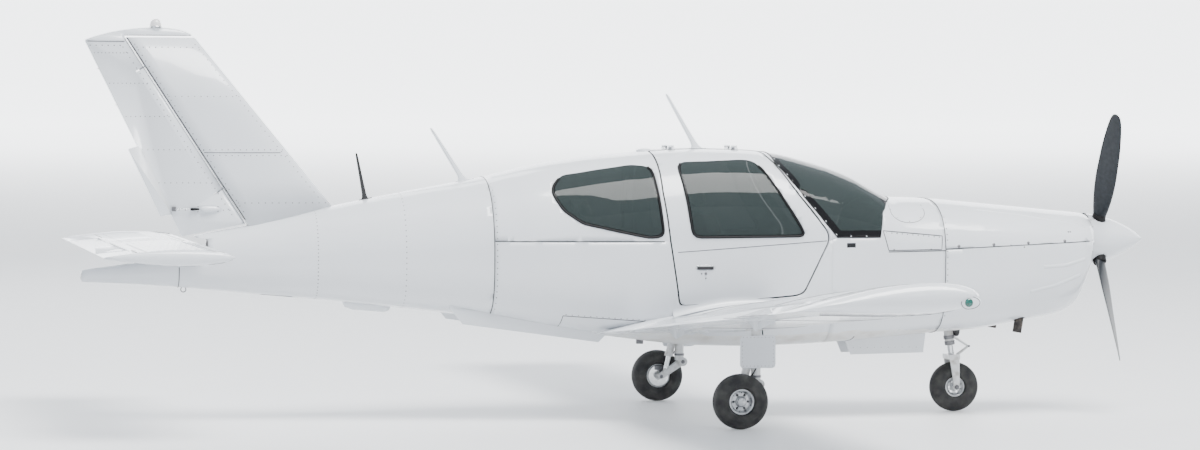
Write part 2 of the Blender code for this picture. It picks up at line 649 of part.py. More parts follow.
def make_cowl():
    """Two halves that meet along a line on each side, with the air inlets round the spinner."""
    rear, front = FIREWALL_X + SEAT_GAP, COWL_FRONT_X
    inside = tool("cut_cowl_inside", hull_solid(rear - 0.05, front - 0.022, SKIN, True))
    shaft = tool("cut_shaft", rod((3.2, 0, HUB_Z), (3.5, 0, HUB_Z), SHAFT_HOLE_RADIUS, 24))
    inlets = []
    for side, sign in SIDES:
        y0, y1, z0, z1 = INLET_BOX
        outline = round_corners([(y0, z0), (y1, z0 + 0.015), (y1, z1), (y0, z1)], 0.045)
        inlets.append(tool("cut_inlet_" + side, prism([(sign * y, z) for y, z in outline], "YZ", 3.05, 3.6)))
    scoop = tool("cut_scoop", prism(round_corners(SCOOP_OUTLINE, 0.040), "YZ", 3.15, 3.6))
    bay = tool("cut_leg_slot", block((2.1, -NOSE_BAY_Y, 0.4), (LEG_SLOT_X, NOSE_BAY_Y, 0.80)))
    for name, low, high in (("cowl_lower", 0.4, None), ("cowl_upper", None, 1.8)):
        half = make(name, hull_solid(rear, front), PAINT)
        a, b = rear - 0.1, front + 0.1
        if high:
            z0, z1 = cowl_seam_z(a) + SEAT_GAP / 2, cowl_seam_z(b) + SEAT_GAP / 2
            side = [(a, z0), (b, z1), (b, high), (a, high)]
        else:
            z0, z1 = cowl_seam_z(a) - SEAT_GAP / 2, cowl_seam_z(b) - SEAT_GAP / 2
            side = [(a, low), (b, low), (b, z1), (a, z0)]
        combine(half, tool("form_" + name, prism(side, "XZ", -1.0, 1.0)), "INTERSECT")
        for cutter in [inside, shaft] + inlets:
            combine(half, cutter, "DIFFERENCE")
        if low:
            combine(half, scoop, "DIFFERENCE")
            combine(half, bay, "DIFFERENCE")
            for side, sign in SIDES:
                hole = rod(exhaust_place(0.850, sign), exhaust_place(0.550, sign), EXHAUST_RADIUS + EXHAUST_GAP)
                combine(half, tool("cut_exhaust_" + side, hole), "DIFFERENCE")


def exhaust_place(z, sign):
    """The middle of an exhaust pipe at a height: it leans back as it goes down."""
    x, y = EXHAUST_XY
    return (x + EXHAUST_LEAN * (z - 0.780), sign * y, z)


def make_engine():
    """The engine as one block with its sump, on its mount, with its shaft and its two exhaust pipes."""
    engine = make("engine", block(*ENGINE_BLOCK), (STEEL, 0.55, 0.8))
    parts = [block(*ENGINE_SUMP), block(*ENGINE_MOUNT),
             rod((3.1, 0, HUB_Z), (SPINNER_REAR_X - SEAT_GAP, 0, HUB_Z), SHAFT_RADIUS, 20)]
    for _, sign in SIDES:
        parts.append(rod(exhaust_place(EXHAUST_Z[0], sign), exhaust_place(EXHAUST_Z[1], sign), EXHAUST_RADIUS))
    for k, bm in enumerate(parts):
        combine(engine, tool("form_engine_%d" % k, bm), "UNION")


def make_rear():
    """Rear fuselage, open at its front, with the step that the tailplane lies in."""
    rear = make("rear_fuselage", hull_solid(HULL_REAR_X, CABIN_REAR_X), PAINT)
    combine(rear, tool("cut_tail_inside", hull_solid(-2.800, CABIN_REAR_X + 0.05, SKIN, True)), "DIFFERENCE")
    step = prism(TAIL_STEP, "XZ", -0.5, 0.5)
    combine(rear, tool("cut_tail_step", step), "DIFFERENCE")
    for side, sign in SIDES:
        x, z = STAB_PIVOT
        y0, y1 = sorted((sign * 0.045, sign * 0.055))
        ear = [(x + 0.045, 1.06), (x + 0.020, z + 0.008)] + arc((x, z), 0.020, 30, 150)
        ear += [(x - 0.020, z + 0.008), (x - 0.045, 1.06)]
        combine(rear, tool("form_ear_" + side, prism(ear, "XZ", y0, y1)), "UNION")


def arc(centre, radius, start, end, steps=6):
    """Points round a centre, from a start to an end angle in degrees, measured from the first axis."""
    angles = [math.radians(start + (end - start) * k / steps) for k in range(steps + 1)]
    return [(centre[0] + radius * math.cos(a), centre[1] + radius * math.sin(a)) for a in angles]


# Wing

def foil_half(c, thickness=WING_THICKNESS):
    """Half thickness of a section in chords, at chord fraction c from the nose."""
    series = 0.2969 * math.sqrt(c) - 0.1260 * c - 0.3516 * c ** 2 + 0.2843 * c ** 3 - 0.1026 * c ** 4
    return 5 * thickness * series


def foil(thickness, camber, end=1.0, points=12):
    """A closed section: along the top from the end to the nose and back below, as chord fraction and height."""
    top, low = [], []
    for i in range(points + 1):
        c = end * (1 - math.cos(math.pi * i / (2 * points)))
        mid = camber * 4 * c * (1 - c)
        half = max(foil_half(c, thickness), 0.0012)
        top.append((c, mid + half))
        low.append((c, mid - half))
    return top[:0:-1] + low


def wing_point(y, c, height):
    """A place on the wing: y along the span, c along the chord, height above the chord line, in chords."""
    z = WING_TE_Z + DIHEDRAL * abs(y) + WING_RISE * (1 - c) + height * WING_CHORD
    return (WING_LE_X - c * WING_CHORD, y, z)


def wing_ring(y, outline, shrink=1.0, nose=0.0, tail=0.0, lift=0.0):
    """The section at y, thinned by shrink, its nose and tail moved in by lengths in chords, and lifted."""
    return [wing_point(y, nose + c * (1 - nose - tail), h * shrink + lift) for c, h in outline]


def hinge_c():
    """Chord fraction of the trailing surfaces' hinge, and the radius of their round noses in metres."""
    c = 1.0 - SURFACE_CHORD / WING_CHORD
    for _ in range(8):
        radius = foil_half(c) * WING_CHORD - 0.001
        c = 1.0 - (SURFACE_CHORD - radius) / WING_CHORD
    return c, radius


def surface_ring(y, sign):
    """Section of a flap or an aileron: a round nose about the hinge, then straight to the trailing edge."""
    c, radius = hinge_c()
    x, _, z = wing_point(y, c, WING_CAMBER * 4 * c * (1 - c))
    te_x, _, te_z = wing_point(y, 1.0, 0.0)
    outline = arc((x, z), radius, 98, -94, 9) + [(te_x, te_z - 0.0015), (te_x, te_z + 0.0015)]
    return [(px, sign * y, pz) for px, pz in outline]


def square_to_axis(bm, sign, pivot_z):
    """Leans an upright plate so that it stands square to the wing's hinge lines, which rise outboard."""
    for vertex in bm.verts:
        vertex.co.y -= sign * DIHEDRAL * (vertex.co.z - pivot_z)
    return bm


def make_wing(side, sign):
    c_hinge, radius = hinge_c()
    cut_x = WING_LE_X - c_hinge * WING_CHORD + radius + COVE_GAP
    full = foil(WING_THICKNESS, WING_CAMBER)
    rings = [wing_ring(sign * 0.480, full, 1.0, 0.0, -0.190), wing_ring(sign * 0.600, full, 1.0, 0.0, -0.130)]
    rings += [wing_ring(sign * y, full) for y in (ROOT_Y, TIP_Y)]
    wing = make("wing_" + side, loft(rings), PAINT)
    y0, y1 = sorted((sign * ROOT_Y, sign * 5.0))
    combine(wing, tool("cut_trailing_" + side, block((-1.0, y0, 0.3), (cut_x, y1, 1.5))), "DIFFERENCE")
    combine(wing, tool("cut_hull_" + side, hull_solid(-0.60, 1.40, -HULL_GAP)), "DIFFERENCE")
    wheel = rod((MAIN_AXLE[0], sign * WELL_Y, 0.45), (MAIN_AXLE[0], sign * WELL_Y, WELL_TOP_Z), 0.215, 24)
    combine(wing, tool("cut_wheel_well_" + side, wheel), "DIFFERENCE")
    y0, y1 = sorted((sign * (WELL_Y + 0.05), sign * (LEG_Y + 0.045)))
    trough = block((LEG_X - 0.075, y0, 0.45), (LEG_X + 0.075, y1, WELL_TOP_Z + 0.010))
    combine(wing, tool("cut_leg_trough_" + side, trough), "DIFFERENCE")

    full_outer = [(0.0, 1.0, 0.0, 0.0, 0.0), (0.220, 0.94, 0.006, 0.080, 0.004),
                  (0.265, 0.66, 0.030, 0.110, 0.010), (0.285, 0.30, 0.070, 0.160, 0.014)]
    tip = [wing_ring(sign * (TIP_Y + SEAT_GAP + out), full, *rest) for out, *rest in full_outer]
    make("wing_tip_" + side, loft(tip), PAINT)

    flap = make("flap_" + side, loft([surface_ring(y, sign) for y in FLAP_Y]), PAINT)
    aileron = make("aileron_" + side, loft([surface_ring(y, sign) for y in AILERON_Y]), PAINT)
    for surface, places, drop in ((flap, FLAP_HINGE_Y, FLAP_DROP), (aileron, AILERON_HINGE_Y, 0.0)):
        for k, y in enumerate(places):
            x, _, z = wing_point(y, c_hinge, WING_CAMBER * 4 * c_hinge * (1 - c_hinge))
            pivot = (x, z - drop)
            near, away = sign * y, sign * (y + 0.008)
            label = "%s_%d_%s" % (surface.name.split("_")[0], k, side)
            if drop:
                arm = [(x + 0.150, z - 0.030), (x + 0.045, z - 0.020)] + arc(pivot, 0.012, 120, 290)
                horn = [(x - 0.080, z - 0.010), (x + 0.010, z - 0.010)] + arc(pivot, 0.012, 20, -160)
                beside = sorted((away + sign * SEAT_GAP, away + sign * 0.008))
                plate = square_to_axis(prism(horn, "XZ", *beside), sign, pivot[1])
                combine(surface, tool("form_horn_" + label, plate), "UNION")
            else:
                arm = [(x + 0.100, z - 0.010), (x + 0.100, z + 0.010)] + arc(pivot, 0.010, 90, 270)
                slot = rod((x, near - sign * SEAT_GAP, z), (x, away + sign * SEAT_GAP, z), radius + 0.010, 20)
                combine(surface, tool("cut_slot_" + label, square_to_axis(slot, sign, pivot[1])), "DIFFERENCE")
            plate = square_to_axis(prism(arm, "XZ", *sorted((near, away))), sign, pivot[1])
            combine(wing, tool("form_arm_" + label, plate), "UNION")
        y = sum(places) / 2
        x, _, z = wing_point(y, c_hinge, WING_CAMBER * 4 * c_hinge * (1 - c_hinge))
        move_origin(surface, (x, sign * y, z - drop))


# Tail

def along(line, z):
    """The x of a straight line of two (x, z) ends at a height."""
    (x0, z0), (x1, z1) = line
    return x0 + (x1 - x0) * (z - z0) / (z1 - z0)


def fin_ring(z):
    """A level slice of the fin: the front of a section that would reach the rudder's trailing edge."""
    x_front, x_rear = along(FIN_LE, z), along(FIN_GAP, z)
    chord = x_front - along(RUDDER_TE, z)
    rows = foil(FIN_THICKNESS, 0.0, (x_front - x_rear) / chord, 8)
    return [(x_front - c * chord, h * chord, z) for c, h in rows]


def fin_hinge(z):
    """Rudder hinge at a height: its x, and the radius of the rudder's round nose."""
    front, gap, rear = along(FIN_LE, z), along(FIN_GAP, z), along(RUDDER_TE, z)
    chord = front - rear
    radius = foil_half((front - gap) / chord, FIN_THICKNESS) * chord - 0.001
    return gap - RUDDER_NOSE_GAP - radius, radius


def cap_top_z(x):
    """Height of the rudder's cap at x."""
    for (x0, z0), (x1, z1) in zip(CAP_TOP, CAP_TOP[1:]):
        if x <= x1:
            return z0 + (z1 - z0) * max(0.0, (x - x0) / (x1 - x0))
    return CAP_TOP[-1][1]


def rudder_ring(z):
    """A level slice of the rudder: a round nose about the hinge, then straight to the trailing edge."""
    x, radius = fin_hinge(z)
    rear = along(RUDDER_TE, z)
    outline = arc((x, 0.0), radius, 84, -84, 8) + [(rear, -0.002), (rear, 0.002)]
    return [(px, py, z) for px, py in outline]


def make_cap():
    """The rudder's cap, which reaches forward over the fin."""
    nose, tail = CAP_TOP[-1][0], CAP_TOP[0][0]
    rings = []
    places = [x for x, _ in CAP_TOP[1:-1]] + [CAP_STEP_X - 0.004, CAP_STEP_X]
    for x in [tail + 0.004] + sorted(places) + [nose - 0.004]:
        half = max(0.004, foil_half((nose - x) / (nose - tail), FIN_THICKNESS) * (nose - tail))
        low = CAP_LOW_Z if x >= CAP_STEP_X else CAP_JOIN_Z[0]
        rise = cap_top_z(x) - low
        ring = [(x, half, low), (x, half, low + rise * 0.45), (x, half * 0.75, low + rise * 0.85),
                (x, half * 0.30, low + rise)]
        rings.append(ring + [(px, -py, pz) for px, py, pz in reversed(ring)])
    return loft(rings)


def make_fin():
    fin = make("fin", loft([fin_ring(z) for z in (FIN_ROOT_Z, 1.700, 2.200, FIN_TIP_Z)]), PAINT)
    combine(fin, tool("cut_hull_fin", hull_solid(-3.100, -1.900, -HULL_GAP)), "DIFFERENCE")

    x_low, _ = fin_hinge(RUDDER_LOW_Z)
    x_high, _ = fin_hinge(FIN_TIP_Z)
    (front, front_z), (rear, rear_z) = RUDDER_BASE
    low = rudder_ring(front_z)
    scale = (low[0][0] - rear) / (low[0][0] - low[-1][0])
    base = [(low[0][0] + (x - low[0][0]) * (scale if x < low[0][0] else 1.0), y) for x, y, _ in low]
    base = [(x, y, front_z + (rear_z - front_z) * (front - x) / (front - rear)) for x, y in base]
    tail_x, tail_z = CAP_TOP[0]
    top = rudder_ring(CAP_JOIN_Z[1])[:-2] + [(tail_x + 0.006, y, tail_z) for y in (-0.002, 0.002)]
    rudder = make("rudder", loft([base, rudder_ring(RUDDER_LOW_Z), rudder_ring(CAP_JOIN_Z[0]), top]), PAINT)
    combine(rudder, tool("form_rudder_tab", prism(RUDDER_TAB, "XZ", -0.006, 0.006)), "UNION")
    combine(rudder, tool("form_cap", make_cap()), "UNION")
    pad = rod((BEACON_X, 0, BEACON_Z - 0.020), (BEACON_X, 0, BEACON_Z), BEACON_RADIUS - 0.002, 16)
    combine(rudder, tool("form_beacon_pad", pad), "UNION")
    axis = (Vector((x_high, 0, FIN_TIP_Z)) - Vector((x_low, 0, RUDDER_LOW_Z))).normalized()
    for k, z in enumerate(RUDDER_HINGE_Z):
        x = x_low + (x_high - x_low) * (z - RUDDER_LOW_Z) / (FIN_TIP_Z - RUDDER_LOW_Z)
        pivot = Vector((x, 0, z))
        forward = Vector((axis.z, 0, -axis.x))
        half, reach = axis * 0.004, fin_hinge(z)[1]
        bar = loft([[pivot + forward * u + axis * v + Vector((0, y, 0)) for u, v in
                     ((0, -0.004), (reach + 0.030, -0.004), (reach + 0.030, 0.004), (0, 0.004))]
                    for y in (-0.007, 0.007)])
        combine(fin, tool("form_rudder_bar_%d" % k, bar), "UNION")
        combine(fin, tool("form_rudder_pin_%d" % k, rod(pivot - half, pivot + half, 0.010, 12)), "UNION")
        half = axis * (0.004 + SEAT_GAP)
        combine(rudder, tool("cut_rudder_slot_%d" % k, rod(pivot - half, pivot + half, reach + 0.014, 20)),
                "DIFFERENCE")
    beacon = make("beacon", turned(BEACON_DOME, (BEACON_X, 0, BEACON_Z + SEAT_GAP), (0, 0, 1), 16), CLEAR_LENS)
    for item in (rudder, beacon):
        move_origin(item, (x_low, 0, RUDDER_LOW_Z))


def stab_ring(y, thickness):
    chord = STAB_LE_X - TAIL_X
    return [(STAB_LE_X - c * chord, y, STAB_PIVOT[1] + h * chord) for c, h in foil(thickness, 0.0, 1.0, 9)]


def make_tailplane():
    thick = STAB_THICKNESS / (STAB_LE_X - TAIL_X)
    stab = make("stabilator", loft([stab_ring(y, thick) for y in (-BULLET_Y, BULLET_Y)]), PAINT)
    for side, sign in SIDES:
        rings = [[(x, sign * BULLET_Y + half * BULLET_WIDTH * math.cos(a), STAB_PIVOT[1] + half * math.sin(a))
                  for a in (math.tau * k / 12 for k in range(12))] for x, half in BULLET]
        combine(stab, tool("form_bullet_" + side, loft(rings)), "UNION")
    radius = foil_half((STAB_LE_X - TAB_HINGE_X) / (STAB_LE_X - TAIL_X), thick) * (STAB_LE_X - TAIL_X) - 0.001
    x_pivot, z_pivot = STAB_PIVOT
    reach = TAB_HALF_SPAN + 0.008
    space = block((-4.0, -reach, 1.0), (TAB_HINGE_X + radius + COVE_GAP, reach, 1.5))
    combine(stab, tool("cut_tab_space", space), "DIFFERENCE")
    outline = arc((TAB_HINGE_X, z_pivot), radius, 88, -88, 7)
    outline += [(TAIL_X, z_pivot - 0.0015), (TAIL_X, z_pivot + 0.0015)]
    tab = make("anti_servo_tab", prism(outline, "XZ", -TAB_HALF_SPAN, TAB_HALF_SPAN), PAINT)
    for k, y in enumerate((-0.800, 0.800)):
        arm = [(TAB_HINGE_X + radius + 0.030, z_pivot - 0.008), (TAB_HINGE_X + radius + 0.030, z_pivot + 0.008)]
        arm += arc((TAB_HINGE_X, z_pivot), 0.009, 90, 270)
        combine(stab, tool("form_tab_arm_%d" % k, prism(arm, "XZ", y - 0.004, y + 0.004)), "UNION")
        slot = rod((TAB_HINGE_X, y - 0.004 - SEAT_GAP, z_pivot), (TAB_HINGE_X, y + 0.004 + SEAT_GAP, z_pivot),
                   radius + 0.010, 18)
        combine(tab, tool("cut_tab_slot_%d" % k, slot), "DIFFERENCE")
    move_origin(tab, (TAB_HINGE_X, 0, z_pivot))
    move_origin(stab, (x_pivot, 0, z_pivot))
    for side, sign in SIDES:
        y0, y1 = sorted((sign * (0.045 - SEAT_GAP), sign * (0.055 + SEAT_GAP)))
        slot = arc(STAB_PIVOT, 0.026, 20, 160) + [(x_pivot - 0.120, 1.05), (x_pivot + 0.120, 1.05)]
        combine(stab, tool("cut_ear_slot_" + side, prism(slot, "XZ", y0, y1)), "DIFFERENCE")


def make_strakes():
    for side, sign in SIDES:
        strake = make("strake_" + side, prism(STRAKE, "XZ", *sorted((sign * 0.345, sign * 0.353))), PAINT)
        combine(strake, tool("cut_hull_strake_" + side, hull_solid(-1.60, 0.0, -HULL_GAP)), "DIFFERENCE")


def make_antennas():
    for name, (x, base), (tip_x, tip_z), width, finish in ANTENNAS:
        rings = []
        for t in (0.0, 0.12, 1.0):
            cx, cz = x + (tip_x - x) * t, base + (tip_z - base) * t
            half = width * (1.0 if t == 0 else 0.45 if t < 0.5 else 0.22)
            rings.append([(cx + half * a, half * 0.30 * b, cz) for a, b in
                          ((1, 0), (0.5, 1), (-0.5, 1), (-1, 0), (-0.5, -1), (0.5, -1))])
        antenna = make(name, loft(rings), finish)
        skin = hull_solid(x - 0.25, x + 0.25, -HULL_GAP)
        combine(antenna, tool("cut_hull_" + name, skin), "DIFFERENCE")


# Propeller and landing gear

def make_propeller():
    hub = make("propeller", rod((SPINNER_REAR_X + 0.005, 0, HUB_Z), (BLADE_X + 0.090, 0, HUB_Z), 0.070, 20),
               (SLATE, 0.40, 0.0))
    plate = rod((SPINNER_REAR_X, 0, HUB_Z), (SPINNER_REAR_X + 0.006, 0, HUB_Z), SPINNER_RADIUS - 0.002, 28)
    combine(hub, tool("form_backplate", plate), "UNION")
    cuffs = []
    for k in range(BLADE_COUNT):
        angle = BLADE_TURN + k * math.tau / BLADE_COUNT
        turn = Matrix.Translation((BLADE_X, 0, HUB_Z)) @ Matrix.Rotation(angle, 4, "X")
        rings = []
        for radius, chord, thick, pitch in BLADE_STATIONS:
            angle = math.radians(pitch)
            ring = []
            for i in range(12):
                a = math.tau * i / 12
                u, v = 0.5 * chord * math.cos(a), 0.5 * thick * math.sin(a)
                ring.append((u * math.sin(angle) + v * math.cos(angle),
                             -u * math.cos(angle) + v * math.sin(angle), radius))
            rings.append(ring)
        blade = loft(rings)
        bmesh.ops.transform(blade, matrix=turn, verts=blade.verts)
        combine(hub, tool("form_blade_%d" % k, blade), "UNION")
        cuff = rod((0, 0, 0.09), (0, 0, 0.30), CUFF_RADIUS, 20)
        bmesh.ops.transform(cuff, matrix=turn, verts=cuff.verts)
        cuffs.append(tool("cut_cuff_%d" % k, cuff))
    rear = SPINNER_REAR_X + 0.006 + SEAT_GAP
    length = NOSE_X - rear
    outside = [(rear + length * t, SPINNER_RADIUS * (1 - t ** 1.75) ** 0.86) for t in
               (0.0, 0.18, 0.36, 0.54, 0.72, 0.88, 0.96)] + [(NOSE_X, 0.0)]
    inside = [(NOSE_X - 0.060, 0.0)] + [(x - 0.010, r - 0.006) for x, r in (outside[4], outside[2])]
    inside.append((rear, SPINNER_RADIUS - 0.006))
    bm = turned(outside + inside, (0, 0, HUB_Z), (1, 0, 0), 24)
    spinner = make("spinner", bm, PAINT)
    for cuff in cuffs:
        combine(spinner, cuff, "DIFFERENCE")
    move_origin(hub, (BLADE_X, 0, HUB_Z))
    move_origin(spinner, (BLADE_X, 0, HUB_Z))


def wheel(name, centre, size, rim_radius, bore):
    """A tyre on its rim; the rim turns on an axle along Y."""
    radius, width = size
    half = width / 2
    bead = rim_radius + SEAT_GAP
    side = [(half * 0.28, radius), (half * 0.82, radius - 0.020), (half, (bead + radius) / 2),
            (half * 0.92, bead + 0.020), (half * 0.62, bead)]
    profile = [(-place, r) for place, r in reversed(side)] + side
    tyre = make(name + "_tyre", turned(profile, centre, (0, 1, 0), WHEEL_SEGMENTS, True), (RUBBER, 0.85, 0.0))
    web = half * 0.30
    side = [(half * 0.55, bore), (half * 0.55, bore + 0.014), (web, bore + 0.020), (web, rim_radius - 0.018),
            (half * 0.60, rim_radius)]
    profile = [(-place, r) for place, r in reversed(side)] + side
    rim = make(name + "_rim", turned(profile, centre, (0, 1, 0), WHEEL_SEGMENTS, True), (ALLOY, 0.35, 0.9))
    move_origin(tyre, centre)
    move_origin(rim, centre)


def make_nose_gear():
    """Fixed outer leg with its brace, the steered fork and axle, the wheel and the two bay doors."""
    down = Vector((math.sin(STEERING_RAKE), 0, -math.cos(STEERING_RAKE)))
    origin = Vector(STEERING_POINT)

    def on_axis(z):
        return origin + down * ((STEERING_POINT[2] - z) / math.cos(STEERING_RAKE))

    leg = make("nose_leg", rod(on_axis(0.930), on_axis(0.480), 0.034, 18), (WHITE, 0.35, 0.0))
    top = on_axis(0.860)
    parts = [block((FIREWALL_X + SEAT_GAP, -0.050, 0.820), (top.x + 0.010, 0.050, 0.900)),
             rod(on_axis(0.600), (1.700, 0, FLOOR_TOP_Z - 0.060), 0.014, 12),
             rod((1.700, -NOSE_BAY_Y + SEAT_GAP, FLOOR_TOP_Z - 0.060), (1.700, NOSE_BAY_Y - SEAT_GAP,
                                                                       FLOOR_TOP_Z - 0.060), 0.014, 12)]
    for k, bm in enumerate(parts):
        combine(leg, tool("form_nose_leg_%d" % k, bm), "UNION")
    start = origin + down * ((STEERING_POINT[2] - 0.480) / math.cos(STEERING_RAKE) + SEAT_GAP)
    fork = make("nose_fork", rod(start, on_axis(0.400), 0.022, 16), (STEEL, 0.30, 0.8))
    x, _, z = NOSE_AXLE
    crown = on_axis(0.400)
    parts = [block((crown.x - 0.040, -0.086, 0.378), (crown.x + 0.040, 0.086, 0.412)),
             rod((x, -0.092, z), (x, 0.092, z), 0.012, 14)]
    for sign in (1, -1):
        blade = loft([[(cx + dx, sign * (0.078 + dy), cz) for dx, dy in
                       ((-w, -0.007), (w, -0.007), (w, 0.007), (-w, 0.007))]
                      for cx, cz, w in ((crown.x, 0.395, 0.036), (x, z + 0.02, 0.022), (x, z - 0.024, 0.016))])
        parts.append(blade)
    for k, bm in enumerate(parts):
        combine(fork, tool("form_fork_%d" % k, bm), "UNION")
    move_origin(fork, STEERING_POINT)
    wheel("nose", NOSE_AXLE, NOSE_TYRE, RIM_RADIUS[1], 0.012 + SEAT_GAP)
    for side, sign in SIDES:
        y0, y1 = sorted((sign * (NOSE_BAY_Y + 0.002), sign * (NOSE_BAY_Y + 0.010)))
        edge = hull_bottom(1.9) - 0.002
        outline = [(NOSE_BAY_X + 0.010, hull_bottom(NOSE_BAY_X) + 0.02),
                   (FIREWALL_X - 0.010, hull_bottom(2.18) + 0.02),
                   (FIREWALL_X - 0.030, edge - 0.120), (NOSE_BAY_X + 0.060, edge - 0.130)]
        door = make("nose_bay_door_" + side, prism(outline, "XZ", y0, y1), PAINT)
        combine(door, tool("cut_hull_nose_door_" + side, hull_solid(1.40, 2.40, -HULL_GAP)), "DIFFERENCE")


def hull_bottom(x):
    return smooth_value(x, 2)


def make_main_gear():
    """Fixed leg, trailing arm, damper and axle in one piece, with the leg's door and the wheel."""
    x, y, z = MAIN_AXLE
    for side, sign in SIDES:
        s = sign * LEG_Y
        leg = make("main_leg_" + side, rod((LEG_X, s, 0.700), (LEG_X, s, 0.310), 0.034, 16), (WHITE, 0.35, 0.0))
        knee = (LEG_X + 0.020, s, 0.300)
        parts = [rod((LEG_X - 0.075 + SEAT_GAP, s, 0.690), (LEG_X + 0.075 - SEAT_GAP, s, 0.690), 0.024, 12),
                 rod((knee[0], s - 0.042, knee[2]), (knee[0], s + 0.042, knee[2]), 0.034, 14),
                 rod(knee, (x, s, z), 0.030, 12, 0.024),
                 rod((x, s - sign * 0.024, z), (x, sign * (y + 0.052), z), 0.018, 14),
                 rod((x + 0.030, s, z + 0.030), (LEG_X - 0.025, s, 0.560), 0.018, 10),
                 rod((x + 0.052, s, z + 0.150), (LEG_X - 0.025, s, 0.560), 0.026, 12)]
        for k, bm in enumerate(parts):
            combine(leg, tool("form_main_%s_%d" % (side, k), bm), "UNION")
        wheel("main_%s" % side, (x, sign * y, z), MAIN_TYRE, RIM_RADIUS[0], 0.018 + SEAT_GAP)
        y0, y1 = sorted((sign * (LEG_Y + 0.034 + SEAT_GAP), sign * (LEG_Y + 0.041)))
        make("main_gear_door_" + side, prism(round_corners(LEG_DOOR, 0.030), "XZ", y0, y1), PAINT)


# Cabin fittings

def seat_shape(name, parts):
    seat = make(name, parts[0], LEATHER)
    for k, bm in enumerate(parts[1:]):
        combine(seat, tool("form_%s_%d" % (name, k), bm), "UNION")
    return seat


def seat_prism(outline, y0, y1):
    return prism(round_corners(outline, 0.035, 2), "XZ", y0, y1)


def make_seats():
    for side, sign in SIDES:
        y0, y1 = sorted((sign * 0.075, sign * 0.575))
        inner0, inner1 = sorted((sign * 0.190, sign * 0.460))
        seat_shape("front_seat_" + side, [
            seat_prism(FRONT_CUSHION, y0, y1),
            seat_prism(FRONT_BACK, y0, y1),
            seat_prism(FRONT_HEADREST, inner0, inner1),
            block((0.620, y0 + 0.060, FLOOR_TOP_Z + SEAT_GAP), (1.060, y1 - 0.060, 0.960))])
    seat_shape("rear_bench", [
        seat_prism(REAR_CUSHION, -0.540, 0.540),
        seat_prism(REAR_BACK, -0.540, 0.540),
        seat_prism(REAR_HEADREST, -0.420, -0.170),
        seat_prism(REAR_HEADREST, 0.170, 0.420),
        block((-0.200, -0.450, FLOOR_TOP_Z + SEAT_GAP), (0.180, 0.450, 0.930))])


def make_panel():
    """The panel with its shade and console, and a yoke for each front seat."""
    panel = make("instrument_panel", block(*PANEL_BLOCK), (DARK_TRIM, 0.60, 0.0))
    parts = [prism(PANEL_SHADE, "XZ", PANEL_BLOCK[0][1], PANEL_BLOCK[1][1]), block(*CONSOLE_BLOCK)]
    for _, sign in SIDES:
        y, z = sign * YOKE_Y, YOKE_Z
        parts.append(rod((1.460, y, z), (1.270, y, z), 0.012, 12))
        parts.append(block((1.255, y - 0.130, z - 0.012), (1.280, y + 0.130, z + 0.012)))
        for grip in (y - 0.118, y + 0.118):
            parts.append(block((1.250, grip - 0.014, z - 0.010), (1.285, grip + 0.014, z + 0.120)))
    for k, bm in enumerate(parts):
        combine(panel, tool("form_panel_%d" % k, bm), "UNION")


def main():
    clear_scene()
    cuts = side_cutters()
    make_cabin(cuts)
    make_front(cuts)
    make_cowl()
    make_engine()
    make_rear()
    for side, sign in SIDES:
        make_wing(side, sign)
    make_fin()
    make_tailplane()
    make_strakes()
    make_antennas()
    make_propeller()
    make_nose_gear()
    make_main_gear()
    make_seats()
    make_panel()


main()
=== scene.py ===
"""Finishes and fine shapes of a light aircraft that stands on its gear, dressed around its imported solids.

Units are metres. +X is the nose, +Y is the port side and +Z is up. It is laid out as an add-on: the sizes and
colours are properties, each group of pieces is an operator, and a panel in the sidebar lists them.
"""

import json
import math

import bmesh
import bpy
from mathutils import Matrix, Vector
from mathutils.bvhtree import BVHTree
from mathutils.kdtree import KDTree


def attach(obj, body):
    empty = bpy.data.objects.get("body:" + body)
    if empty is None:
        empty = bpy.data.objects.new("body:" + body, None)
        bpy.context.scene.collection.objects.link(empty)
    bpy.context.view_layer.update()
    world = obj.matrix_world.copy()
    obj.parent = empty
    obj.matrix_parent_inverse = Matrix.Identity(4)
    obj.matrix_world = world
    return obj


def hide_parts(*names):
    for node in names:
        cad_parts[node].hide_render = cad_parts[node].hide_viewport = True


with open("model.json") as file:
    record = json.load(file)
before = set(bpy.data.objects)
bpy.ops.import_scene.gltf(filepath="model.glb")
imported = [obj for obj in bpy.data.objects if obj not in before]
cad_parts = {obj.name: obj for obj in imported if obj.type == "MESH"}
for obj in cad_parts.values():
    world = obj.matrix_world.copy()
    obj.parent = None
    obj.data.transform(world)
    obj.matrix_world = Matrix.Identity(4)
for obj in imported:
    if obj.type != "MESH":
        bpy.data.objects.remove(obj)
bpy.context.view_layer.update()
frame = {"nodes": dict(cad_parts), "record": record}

bl_info = {
    "name": "Light aircraft finishes",
    "version": (1, 0, 0),
    "blender": (4, 5, 0),
    "location": "View3D > Sidebar > Aircraft",
    "description": "Dresses a low-wing light aircraft: skins, glass, cabin, gear, propeller and lights",
    "category": "Object",
}

AIRFRAME = "airframe"
MERGE = 0.00002
SIDES = (("left", 1), ("right", -1))

